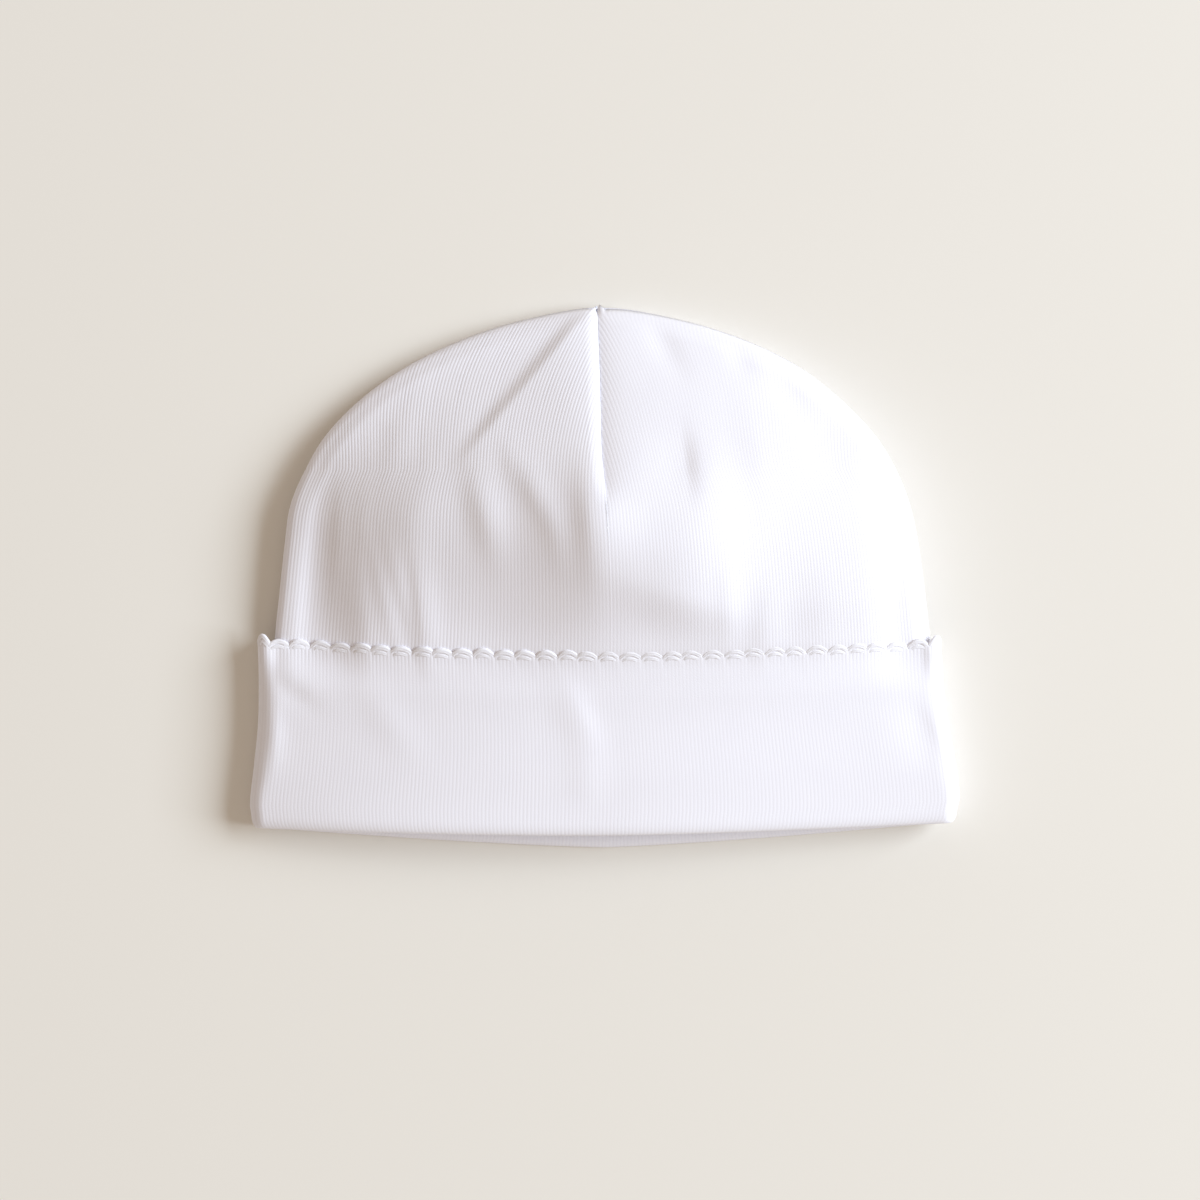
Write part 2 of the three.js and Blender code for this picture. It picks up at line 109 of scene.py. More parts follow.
# y, left, right, top, edge, under, round_left, round_right, swell_right
SECTIONS = (
    Section(-53.6, 77.9, 77.9, 10.8, 3.2, CUFF_FACE, 3.3, 1.6, 1.0),
    Section(-42.0, 76.9, 77.0, 11.0, 3.2, CUFF_FACE, 2.4, 1.7, 0.95),
    Section(-28.0, 75.5, 75.2, 11.6, 3.3, CUFF_FACE, 2.1, 2.0, 0.85),
    Section(-12.5, 74.2, 73.1, 13.9, 3.7, CUFF_FACE, 1.45, 3.0, 0.65),
    Section(-3.0, 73.2, 71.9, 16.0, 4.1, 0.3, 1.25, 3.6, 0.5),
    Section(7.0, 72.1, 70.5, 17.2, 4.3, 0.1, 1.2, 4.0, 0.45),
    Section(16.0, 70.8, 68.6, 17.3, 4.3, 0.0, 1.2, 4.0, 0.45),
    Section(24.0, 67.6, 65.6, 16.5, 4.0, 0.0, 1.25, 3.6, 0.45),
    Section(32.0, 63.0, 60.9, 14.3, 3.5, 0.0, 1.3, 3.2, 0.5),
    Section(40.0, 55.4, 53.5, 11.9, 3.0, 0.0, 1.35, 2.8, 0.6),
    Section(47.0, 45.9, 44.8, 9.3, 2.6, 0.0, 1.4, 2.5, 0.7),
    Section(52.5, 35.2, 34.6, 7.2, 2.4, 0.1, 1.5, 2.2, 0.8),
    Section(56.6, 24.4, 23.6, 5.9, 2.3, 0.3, 1.6, 2.0, 0.9),
    Section(59.2, 14.4, 13.2, 5.0, 2.3, 0.5, 1.8, 1.9, 1.0),
    Section(60.7, 6.6, 5.0, 4.4, 2.3, 0.6, 2.0, 2.0, 1.1),
    Section(61.2, 1.4, -1.0, 4.1, 2.3, 0.7, 2.0, 2.0, 1.1),
)
LAST_ROW = len(SECTIONS) - 1


@dataclass(frozen=True)
class CuffSide:
    """How far the cuff's outer face reaches to the left and right."""

    y: float
    left: float
    right: float


CUFF_SIDES = (
    CuffSide(y=-53.6, left=79.6, right=79.2),
    CuffSide(y=-50.0, left=80.0, right=79.9),
    CuffSide(y=-42.0, left=79.1, right=79.0),
    CuffSide(y=-33.0, left=78.2, right=77.4),
    CuffSide(y=-24.0, left=78.0, right=76.2),
    CuffSide(y=-13.0, left=78.2, right=75.6),
)


@dataclass(frozen=True)
class CentrePoint:
    """Where the middle rib of the front, and above it the front dart, lies across the beanie."""

    y: float
    x: float


CENTRE_LINE = (
    CentrePoint(y=-30.0, x=0.2),
    CentrePoint(y=-14.0, x=1.4),
    CentrePoint(y=2.0, x=1.2),
    CentrePoint(y=16.0, x=0.3),
    CentrePoint(y=28.0, x=-0.9),
    CentrePoint(y=44.0, x=-1.3),
    CentrePoint(y=61.2, x=-1.9),
)


@dataclass(frozen=True)
class Dart:
    """How the seam up the middle of the front or the back takes the ribs of one quarter of the crown."""

    tip: float  # where it starts, in Y
    ribs: float  # that it has taken by the crown's point
    shape: float  # more than 1 where it takes few of them near its tip
    bunch: float  # by how much the ribs next to the seam stand further apart
    width: float  # of the cloth that bends down into the seam
    depth: float  # how far down
    is_rolled: bool  # whether that cloth turns down all at once, like the edge of a roll


DARTS = (
    Dart(tip=15.0, ribs=20.0, shape=1.8, bunch=0.0, width=2.4, depth=0.55, is_rolled=True),  # front left
    Dart(tip=15.0, ribs=18.0, shape=1.5, bunch=0.25, width=3.2, depth=1.1, is_rolled=False),  # front right
    Dart(tip=17.0, ribs=18.0, shape=1.7, bunch=0.0, width=2.0, depth=0.5, is_rolled=False),  # back right
    Dart(tip=17.0, ribs=18.0, shape=1.7, bunch=0.0, width=2.0, depth=0.5, is_rolled=False),  # back left
)


@dataclass(frozen=True)
class Fold:
    """A ridge, or a dent where rise is negative, along a line through x, y that leans right of +Y."""

    x: float
    y: float
    lean: float
    reach: float  # how far it goes each way along the line
    left: float  # how wide its left flank is
    right: float
    rise: float
    blunt: float = 2.0  # 2 where it fades gently at its ends, more where it stops short


# x, y, lean, reach, left, right, rise
CROWN_FOLDS = (
    # the pucker at the lower end of the front dart
    Fold(-2.8, 14.0, -4, 11, 3.8, 8.0, 0.9),
    # the crease that runs down to the left from the point, the edge of a loose flap
    Fold(-16.5, 43.7, 39.5, 21.0, 2.1, 14.0, 1.0, blunt=6),
    # the middle, drawn over to the right
    Fold(8.0, 1.0, 0, 19, 19.0, 120.0, 1.9),
    Fold(1.0, 19.0, -3, 20, 27.0, 29.0, 2.7),
    Fold(1.0, 14.5, -3, 12, 20.0, 60.0, 1.5),
    Fold(-2.0, 40.0, -2, 13, 11.0, 60.0, 0.8),
    Fold(-2.0, 4.0, 18, 11, 12.0, 9.0, 0.55),
    # the left side: a shelf beside the fold, a steep rise, and gathers that fan up from the cuff
    Fold(-65.0, 0.0, 4, 19, 4.0, 5.5, -0.95),
    Fold(-52.5, -10.0, -3, 11, 5.5, 12.0, 1.3),
    Fold(-53.0, 8.0, 4, 15, 9.0, 70.0, 1.4),
    Fold(-39.0, 12.0, 6, 17, 17.0, 70.0, 3.2),
    Fold(-44.0, 3.0, 15, 18, 9.0, 60.0, 0.7),
    Fold(-37.0, -12.0, -8, 9, 8.0, 12.0, 0.7),
    Fold(-59.5, 10.0, 3, 11, 2.0, 2.2, 0.18),
    Fold(-49.0, -4.0, -14, 12, 1.9, 2.2, 0.17),
    Fold(-45.0, -3.0, -17, 12, 1.8, 2.0, 0.15),
    Fold(-40.5, -7.0, -6, 10, 2.0, 3.5, 0.42),
    Fold(-33.0, 28.0, 18, 14, 9.0, 8.0, 0.5),
    Fold(-46.0, 30.0, 22, 12, 3.5, 3.5, 0.18),
    # three drapes between the crease's end and the dart
    Fold(-26.5, 15.0, -15, 10, 3.6, 4.5, 0.75),
    Fold(-15.5, 19.0, -22, 7.5, 2.6, 3.2, 0.42),
    Fold(-11.0, 11.0, -12, 7, 2.6, 3.2, 0.25),
    Fold(-20.5, 25.0, -18, 5, 2.0, 2.4, 0.15),
    # the right side: a hollow beside the dart, a swell above the cuff and soft dents below the outline
    Fold(17.5, 25.0, -6, 7.0, 7.5, 2.6, -0.7),
    Fold(35.0, 27.0, -10, 12, 5.0, 9.0, 0.4),
    Fold(17.0, -2.2, -75, 15, 6.5, 25.0, 2.4),
    Fold(24.0, 12.0, -3, 16, 8.0, 5.0, 0.4),
    Fold(27.5, -3.0, 0, 9, 2.5, 2.5, 0.2),
    Fold(36.0, -9.0, 5, 8, 3.0, 4.0, 0.27),
    Fold(49.0, -8.0, 4, 9, 4.5, 6.0, 0.22),
    Fold(66.0, -1.0, -3, 28, 5.0, 6.0, -1.3),
    Fold(13.5, 52.0, -30, 7, 3.0, 3.0, -0.35),
    Fold(30.5, 50.0, -25, 5, 3.0, 3.0, -0.3),
    Fold(41.5, 41.0, -35, 7, 3.5, 3.5, -0.4),
    Fold(50.0, 29.0, -20, 9, 6.0, 6.0, -0.5),
)
CUFF_FOLDS = (
    Fold(-5.5, -29.0, -25, 8, 4.5, 3.0, 0.36),
    Fold(-4.0, -45.0, -3, 10, 4.0, 4.0, 0.22),
    Fold(-74.5, -35.0, 0, 6, 2.0, 2.5, 0.30),
    Fold(-70.0, -25.5, -60, 6, 2.0, 2.0, -0.30),
    Fold(-69.5, -20.0, 0, 5, 4.5, 8.0, 0.55),
    Fold(72.0, -35.0, -35, 8, 5.0, 3.0, -0.35),
    Fold(-48.0, -31.0, -40, 9, 4.0, 4.0, 0.25),
    Fold(72.0, -27.0, 0, 13, 4.5, 5.0, -0.2),
)
BACK_FOLDS = (Fold(-1.0, 40.5, -1, 23, 2.0, 2.0, 1.3, blunt=4),)


def smoothstep(low: float, high: float, value: Array) -> Array:
    """Goes smoothly from 0 at low to 1 at high."""
    share = np.clip((value - low) / (high - low), 0.0, 1.0)
    return share * share * (3.0 - 2.0 * share)


def unit(vectors: Array) -> Array:
    """The directions of vectors."""
    return vectors / np.maximum(np.linalg.norm(vectors, axis=-1, keepdims=True), LEAST_VECTOR)


class SmoothTable:
    """A smooth curve through the rows of a table."""

    FINE_ROWS = 4001  # among which row_at finds a height

    def __init__(self, rows: tuple) -> None:
        """Keeps the rows' numbers under their column names.

        Args:
            rows: Dataclasses of one kind, in order along the curve.
        """
        self.names = [column.name for column in fields(rows[0])]
        self.values = np.array([astuple(row) for row in rows], float)
        inner = (self.values[2:] - self.values[:-2]) / 2
        first = self.values[1:2] - self.values[:1]
        final = self.values[-1:] - self.values[-2:-1]
        self.slopes = np.concatenate([first, inner, final])

    def at(self, along: Array) -> dict[str, Array]:
        """Reads every column at row numbers that need not be whole.

        Args:
            along: Row numbers, from 0 to the last row's.

        Returns:
            An array of the same shape for each column's name.
        """
        along = np.clip(np.asarray(along, float), 0, len(self.values) - 1)
        row = np.minimum(along.astype(int), len(self.values) - 2)
        f = (along - row)[..., None]
        made = (
            self.values[row] * (1 + 2 * f) * (1 - f) ** 2
            + self.slopes[row] * f * (1 - f) ** 2
            + self.values[row + 1] * f * f * (3 - 2 * f)
            + self.slopes[row + 1] * f * f * (f - 1)
        )
        return {name: made[..., i] for i, name in enumerate(self.names)}

    def row_at(self, y: Array) -> Array:
        """The row numbers at which the curve reaches the heights y."""
        rows = np.linspace(0, len(self.values) - 1, self.FINE_ROWS)
        return np.interp(y, self.at(rows)["y"], rows)


def fold_height(folds: tuple[Fold, ...], x: Array, y: Array) -> Array:
    """Adds up the ridges and dents at points in plan.

    Args:
        folds: The ridges and dents.
        x: Where the points are across the beanie.
        y: Where they are up it.

    Returns:
        How far each point is raised.
    """
    height = np.zeros(np.broadcast(x, y).shape)
    for fold in folds:
        lean = math.radians(fold.lean)
        across = (x - fold.x) * math.cos(lean) - (y - fold.y) * math.sin(lean)
        down = (x - fold.x) * math.sin(lean) + (y - fold.y) * math.cos(lean)
        flank = np.where(across < 0, fold.left, fold.right)
        height += fold.rise * np.exp(-((across / flank) ** 2) - np.abs(down / fold.reach) ** fold.blunt)
    return height


class Layer(Enum):
    """The two layers of cloth that have widths of their own."""

    CROWN = "crown"
    CUFF = "cuff"


class LyingCloth:
    """The shape in which the beanie's cloth lies."""

    ROWS = 301  # rings that are measured
    STATIONS = 700  # points at which each is
    SHARES = 401  # even shares of a quarter's length that are kept

    SIDE_FOLD = 1.6  # half the thickness of the flattened crown at its side folds
    NOSE = 1.9  # how far in from the outline a side fold takes to reach that thickness
    SIDE_CALM = 5.0  # how far in from it the ridges and dents take to reach their full height
    LEFT_RISE = 0.9  # how much higher the left side fold lies than the table says
    RIGHT_RISE = 0.21  # the same for the right one, as a share of the top's height
    SWELL_LEFT = 1.15  # what swell_right is for the right side
    CROWN_SOFTNESS = 0.06  # the share of the width over which the middle of the front is rounded
    BACK_FULLNESS = 1.12  # how far out the back lies flat on the floor
    BACK_POWER = 6
    FLARE = 0.02  # how far the cuff's ribs spread outwards towards the mouth
    FLARE_POWER = 4
    FLARE_FADES_Y = (-55.0, -40.0)

    FOLDS_SHOW_Y = (-26.0, -18.0)  # where the crown's folds come to show through the cuff
    CROWN_PUFF = 0.65  # how far the crown swells up just above the cuff's raw edge
    PUFF_RISES_Y = (CUFF_TOP_Y - 1, CUFF_TOP_Y + 3)
    CUFF_REST = 0.5  # how far the cuff's front stands off the crown
    CUFF_FREE = 12.0  # how far up from the mouth it takes to do so
    EDGE_SINK = 1.1  # how far the raw edge sinks towards the crown
    SINK_REACH = 9.0  # how far below it the sinking starts

    MOUTH_DROP_FRONT = 2.0  # how far the middle of the mouth's front hangs below its corners
    MOUTH_DROP_BACK = 5.5
    CUFF_TOP_DROP = 2.9  # how far the middle of the raw edge hangs below its ends
    FRONT_SAG_POWER = 1.5  # how flat the bottoms of these sags are
    BACK_SAG_POWER = 1.25
    HANG_FROM_Y = MOUTH_Y - 2
    HANG_ENDS_Y = 12.0
    HANG_BLEND = 2.5  # how far above and below the side folds the front's sag turns into the back's
    SKEW = 0.008  # how much higher the mouth's right side lies, for each millimetre across

    def __init__(self) -> None:
        """Measures each layer's cloth round the beanie."""
        self.sections = SmoothTable(SECTIONS)
        self.cuff_sides = SmoothTable(CUFF_SIDES)
        self.centre = SmoothTable(CENTRE_LINE)
        self.rows = np.linspace(0, LAST_ROW, self.ROWS)
        self.shares = np.linspace(0, 1, self.SHARES)
        self.stations: dict[tuple[Layer, bool], Array] = {}
        self.lengths: dict[tuple[Layer, bool], Array] = {}
        for layer in Layer:
            for is_front in (True, False):
                self._measure(layer, is_front)

    def _measure(self, layer: Layer, is_front: bool) -> None:
        """Finds the stations that share out a quarter ring evenly by length, for many rows.

        Args:
            layer: Which layer's widths to follow.
            is_front: Whether to measure the front wall.
        """
        stations = np.cos(np.linspace(0, math.pi / 2, self.STATIONS))
        offset = CUFF_FACE if layer is Layer.CUFF else 0.0
        ring = self.place(self.rows[:, None], -stations[None, :], is_front, offset, layer, folded=False)
        steps = np.linalg.norm(np.diff(ring[..., [0, 2]], axis=1), axis=-1)
        lengths = np.concatenate([np.zeros((self.ROWS, 1)), np.cumsum(steps, axis=1)], axis=1)
        total = np.maximum(lengths[:, -1:], LEAST_LENGTH)
        even = [np.interp(self.shares, row, stations) for row in lengths / total]
        self.stations[layer, is_front] = np.array(even)
        self.lengths[layer, is_front] = lengths[:, -1]

    def quarter_length(self, along: Array, layer: Layer, is_front: Array) -> Array:
        """The length of cloth from a side fold to the middle of the front or the back.

        Args:
            along: Row numbers of SECTIONS.
            layer: Which layer's widths to follow.
            is_front: Whether each length is the front wall's.

        Returns:
            The lengths.
        """
        front = np.interp(along, self.rows, self.lengths[layer, True])
        back = np.interp(along, self.rows, self.lengths[layer, False])
        return np.where(is_front, front, back)

    def _station(self, share: Array, along: Array, layer: Layer, is_front: Array) -> Array:
        """Turns shares of a quarter's length of cloth into shares of the beanie's width.

        Args:
            share: The share of the length, from a side fold.
            along: Row numbers of SECTIONS.
            layer: Which layer's widths to follow.
            is_front: Whether each point is on the front wall.

        Returns:
            The distances from the middle, as shares of the width.
        """
        row = np.clip(along / LAST_ROW * (self.ROWS - 1), 0, self.ROWS - 1.001)
        column = np.clip(share * (self.SHARES - 1), 0, self.SHARES - 1.001)
        i, j = row.astype(int), column.astype(int)
        down, right = row - i, column - j
        found = []
        for side in (True, False):
            table = self.stations[layer, side]
            near = table[i, j] * (1 - right) + table[i, j + 1] * right
            far = table[i + 1, j] * (1 - right) + table[i + 1, j + 1] * right
            found.append(near * (1 - down) + far * down)
        return np.where(is_front, found[0], found[1])

    def around(
        self, along: Array, turn: Array, offset: Array | float, layer: Layer, beyond: Array | float = 0.0
    ) -> Array:
        """Points of the cloth by quarter turns round the beanie.

        Args:
            along: Row numbers of SECTIONS.
            turn: Quarter turns from the left side fold.
            offset: How far out from the crown's outer face.
            layer: Which layer's widths to follow.
            beyond: How far past the mouth's edge a point of the turned cloth is.

        Returns:
            Points, in millimetres, with one more axis than the arguments.
        """
        along, turn = np.broadcast_arrays(np.asarray(along, float), np.asarray(turn, float))
        turn = np.mod(turn, 4.0)
        quarter = np.minimum(turn.astype(int), 3)
        share = turn - quarter
        share = np.where(quarter % 2 == 0, share, 1 - share)
        is_front = quarter < 2
        is_left = (quarter == 0) | (quarter == 3)
        station = self._station(share, along, layer, is_front) * np.where(is_left, -1.0, 1.0)
        return self.place(along, station, is_front, offset, layer, beyond)

    def normals(self, along: Array, turn: Array, offset: Array | float, layer: Layer) -> Array:
        """Outward directions at points of the cloth.

        Args:
            along: Row numbers of SECTIONS.
            turn: Quarter turns from the left side fold.
            offset: How far out from the crown's outer face.
            layer: Which layer's widths to follow.

        Returns:
            A direction for each point that around gives.
        """
        step_round, step_up = 0.003, 0.02
        low, high = np.maximum(along - step_up, 0), np.minimum(along + step_up, LAST_ROW)
        up = self.around(high, turn, offset, layer) - self.around(low, turn, offset, layer)
        onward = self.around(along, turn + step_round, offset, layer)
        onward -= self.around(along, turn - step_round, offset, layer)
        return unit(np.cross(onward, up))

    def outline_normal(self, along: Array) -> tuple[Array, Array]:
        """The outline's outward direction in plan.

        Args:
            along: Row numbers of SECTIONS.

        Returns:
            The direction's shares across and upwards.
        """
        step = 0.05
        before = self.sections.at(np.maximum(along - step, 0))
        after = self.sections.at(np.minimum(along + step, LAST_ROW))
        wider = (after["left"] + after["right"] - before["left"] - before["right"]) / 2
        up = after["y"] - before["y"]
        length = np.hypot(wider, up)
        return up / length, -wider / length

    def place(
        self,
        along: Array,
        station: Array,
        is_front: Array | bool,
        offset: Array | float,
        layer: Layer,
        beyond: Array | float = 0.0,
        folded: bool = True,
    ) -> Array:
        """Points of the cloth by their share of the width.

        Args:
            along: Row numbers of SECTIONS.
            station: From -1 at the left side fold to 1 at the right one.
            is_front: Whether each point is on the front wall.
            offset: How far out from the crown's outer face.
            layer: Which layer's widths to follow.
            beyond: How far past the mouth's edge a point of the turned cloth is.
            folded: Whether to add the ridges and dents.

        Returns:
            Points, in millimetres, with one more axis than the arguments.
        """
        section = self.sections.at(along)
        across, upward = self.outline_normal(along)
        u = np.abs(station)
        x, half = self._widths(section, station, is_front, offset, layer, across)
        y = section["y"] + offset * upward
        from_side = (1 - u) * half * across
        edge = section["edge"] + self.LEFT_RISE * np.clip(-station, 0, 1) ** 2
        edge = edge + self.RIGHT_RISE * section["top"] * np.clip(station, 0, 1) ** 2
        near = np.clip(from_side / (self.NOSE + offset), 0, 1)
        lip = (self.SIDE_FOLD + offset) * np.sqrt(1 - (1 - near) ** 2)
        front = edge + lip + (section["top"] - edge - self.SIDE_FOLD) * self._swell(section, station)
        flatness = np.minimum(self.BACK_FULLNESS * (1 - u**self.BACK_POWER), 1.0)
        back = edge - lip - (edge - section["under"] - self.SIDE_FOLD) * flatness
        if folded:
            inside = smoothstep(0, self.SIDE_CALM, from_side)
            front = front + self._front_relief(x, y, layer) * inside
            back = back + fold_height(BACK_FOLDS, x, y) * inside
        z = np.where(is_front, front, back)
        y = self._hang(x, y, z, station, edge) - beyond
        return np.stack(np.broadcast_arrays(x, y, z), axis=-1)

    def _widths(
        self,
        section: dict[str, Array],
        station: Array,
        is_front: Array | bool,
        offset: Array | float,
        layer: Layer,
        across: Array,
    ) -> tuple[Array, Array]:
        """Lays points out across the beanie.

        Args:
            section: The columns of SECTIONS at the points.
            station: From -1 at the left side fold to 1 at the right one.
            is_front: Whether each point is on the front wall.
            offset: How far out from the crown's outer face.
            layer: Which layer's widths to follow.
            across: The share across of the outline's outward direction.

        Returns:
            The points' places in X, and half the layer's width there.
        """
        if layer is Layer.CUFF:
            sides = self.cuff_sides.at(self.cuff_sides.row_at(section["y"]))
            half = (sides["right"] + sides["left"]) / 2 + (offset - CUFF_FACE) * across
            x = (sides["right"] - sides["left"]) / 2 + station * half
            flare = 1 - np.abs(station) ** self.FLARE_POWER
            return x + self.FLARE * x * flare * (1 - smoothstep(*self.FLARE_FADES_Y, section["y"])), half
        half = np.maximum((section["right"] + section["left"]) / 2 + offset * across, 0.0)
        middle = (section["right"] - section["left"]) / 2
        centre = self.centre.at(self.centre.row_at(section["y"]))["x"]
        return middle + station * half + (centre - middle) * (1 - station**2) * is_front, half

    def _swell(self, section: dict[str, Array], station: Array) -> Array:
        """How far the front has risen towards its top: 0 at the side folds and 1 in the middle.

        Args:
            section: The columns of SECTIONS at the points.
            station: From -1 at the left side fold to 1 at the right one.

        Returns:
            A share for each point.
        """
        rounded = np.hypot(np.abs(station), self.CROWN_SOFTNESS) - self.CROWN_SOFTNESS
        rounded = rounded / (math.hypot(1, self.CROWN_SOFTNESS) - self.CROWN_SOFTNESS)
        to_left = 1 - (1 - rounded ** section["round_left"]) ** self.SWELL_LEFT
        to_right = 1 - (1 - rounded ** section["round_right"]) ** section["swell_right"]
        return 1 - np.where(station < 0, to_left, to_right)

    def _front_relief(self, x: Array, y: Array, layer: Layer) -> Array:
        """How far the front wall is raised or dented.

        Args:
            x: Where the points are across the beanie.
            y: Where they are up it.
            layer: The crown, or the cuff, through whose top the crown's folds show.

        Returns:
            A height for each point.
        """
        relief = fold_height(CROWN_FOLDS, x, y) * smoothstep(*self.FOLDS_SHOW_Y, y)
        if layer is Layer.CROWN:
            return relief + self.CROWN_PUFF * smoothstep(*self.PUFF_RISES_Y, y)
        free = smoothstep(MOUTH_Y, MOUTH_Y + self.CUFF_FREE, y)
        sunk = (self.CUFF_REST + self.EDGE_SINK) * smoothstep(CUFF_TOP_Y - self.SINK_REACH, CUFF_TOP_Y, y)
        return relief + np.maximum(self.CUFF_REST + fold_height(CUFF_FOLDS, x, y), 0) * free - sunk

    def _hang(self, x: Array, y: Array, z: Array, station: Array, edge: Array) -> Array:
        """Lets the middles of the mouth and of the cuff's top edge hang lower than their ends.

        Args:
            x: Where the points are across the beanie.
            y: Where they are up it.
            z: How high they are.
            station: From -1 at the left side fold to 1 at the right one.
            edge: How high the nearer side fold is.

        Returns:
            Where the points then are up the beanie.
        """
        front = smoothstep(-self.HANG_BLEND, self.HANG_BLEND, z - edge)
        power = self.BACK_SAG_POWER + (self.FRONT_SAG_POWER - self.BACK_SAG_POWER) * front
        bow = 1 - np.abs(station) ** power
        mouth_drop = self.MOUTH_DROP_BACK + (self.MOUTH_DROP_FRONT - self.MOUTH_DROP_BACK) * front
        near_mouth = 1 - smoothstep(self.HANG_FROM_Y, CUFF_TOP_Y, y)
        near_top = 1 - near_mouth - smoothstep(CUFF_TOP_Y, self.HANG_ENDS_Y, y)
        drop = mouth_drop * near_mouth + self.CUFF_TOP_DROP * near_top
        return y - bow * drop + self.SKEW * x * near_mouth


class Gores:
    """How the ribs of the crown's four quarters run into its seams, and how the seams draw the cloth in."""

    LEAN_SPREAD = 0.1  # how much wider leaning ribs stand apart
    SPREAD_FULL_Y = 50
    BUNCH_REACH = 8.0  # how far from a dart the ribs are bunched
    BUNCH_GROWS_Y = (16, 28)
    DART_GROWS = (-1, 8)  # how far past its tip a dart starts to draw the cloth in, and does so fully
    DART_POINT = 0.6  # how much less it does so at the crown's point
    POINT_REACH = 4
    ROLL_POWER = 1.5
    ROLL_CALM = 1.4  # how much narrower than the bend the strip without ribs is
    ROLL_SHARPNESS = 4  # how suddenly that strip ends
    PLAIN_SMOOTHED = 0.5  # how much less an edge that isn't rolled loses them
    PLAIN_CALM = 2
    SIDE_GROWS = (-4, 6)
    SIDE_DEPTH = 0.06
    SIDE_WIDTH = 0.8
    SMOOTHED = 0.8  # how much of the ribs' relief a seam can take away

    def __init__(self, cloth: LyingCloth) -> None:
        """Works out how many ribs the seams at a quarter's two sides have taken, for many rows.

        Args:
            cloth: How the cloth lies.
        """
        self.cloth = cloth
        self.rows = cloth.rows
        y = cloth.sections.at(self.rows)["y"]
        side_row = cloth.sections.row_at(np.array(SIDE_SEAM_TIP_Y))
        spread = 1 + self.LEAN_SPREAD * smoothstep(SIDE_SEAM_TIP_Y, self.SPREAD_FULL_Y, y)
        self.losses: list[tuple[Array, Array]] = []
        for quarter, dart in enumerate(DARTS):
            taken = dart.ribs * np.clip((y - dart.tip) / (POINT_Y - dart.tip), 0, 1) ** dart.shape
            length = cloth.quarter_length(self.rows, Layer.CROWN, np.array(quarter < 2))
            pitch = np.interp(side_row, self.rows, length / (QUARTER - taken))
            side = np.maximum(QUARTER - taken - length / (pitch * spread), 0) * (self.rows > side_row)
            self.losses.append((np.maximum.accumulate(side), taken))

    def loss(self, along: Array, quarter: Array) -> tuple[Array, Array]:
        """How many ribs the side seam and the dart have taken from a quarter.

        Args:
            along: Row numbers of SECTIONS.
            quarter: Which quarter each row number is for.

        Returns:
            The side seam's numbers and the dart's.
        """
        at_side = [np.interp(along, self.rows, side) for side, _ in self.losses]
        at_dart = [np.interp(along, self.rows, taken) for _, taken in self.losses]
        return np.choose(quarter, at_side), np.choose(quarter, at_dart)

    def last_row(self, rib: Array) -> Array:
        """The row at which each rib ends in a seam.

        Args:
            rib: Rib numbers round the beanie from the left side fold.

        Returns:
            A row number for each rib.
        """
        quarter, from_side = self._quarter(rib)
        ends = []
        for side, taken in self.losses:
            at_side = np.interp(from_side, side[side > 0], self.rows[side > 0])
            at_dart = np.interp(QUARTER - from_side, taken[taken > 0], self.rows[taken > 0])
            ends.append(np.where(from_side <= side[-1], at_side, at_dart))
        return np.choose(quarter, ends)

    @staticmethod
    def _quarter(rib: Array) -> tuple[Array, Array]:
        """Finds the quarters that ribs are in.

        Args:
            rib: Rib numbers.

        Returns:
            Each rib's quarter, and how many ribs it is from the side fold there.
        """
        rib = np.mod(rib, RIBS)
        quarter = np.minimum((rib / QUARTER).astype(int), 3)
        within = rib - quarter * QUARTER
        return quarter, np.where(quarter % 2 == 0, within, QUARTER - within)

    def turn(self, rib: Array, along: Array) -> tuple[Array, Array, Array]:
        """Where ribs are round the crown.

        Args:
            rib: Rib numbers.
            along: Row numbers of SECTIONS.

        Returns:
            Quarter turns, and the distances to the nearest side seam and dart, in millimetres.
        """
        quarter, from_side = self._quarter(rib)
        side, taken = self.loss(along, quarter)
        length = self.cloth.quarter_length(along, Layer.CROWN, quarter < 2)
        left = np.maximum(QUARTER - side - taken, LEAST_LENGTH)
        share = np.clip((from_side - side) / left, 0, 1)
        to_dart = (1 - share) * length
        y = self.cloth.sections.at(along)["y"]
        bunch = np.choose(quarter, [dart.bunch for dart in DARTS]) * smoothstep(*self.BUNCH_GROWS_Y, y)
        to_dart = np.minimum(to_dart * (1 + bunch * np.exp(-to_dart / self.BUNCH_REACH)), length)
        share = 1 - to_dart / np.maximum(length, LEAST_LENGTH)
        return quarter + np.where(quarter % 2 == 0, share, 1 - share), share * length, to_dart

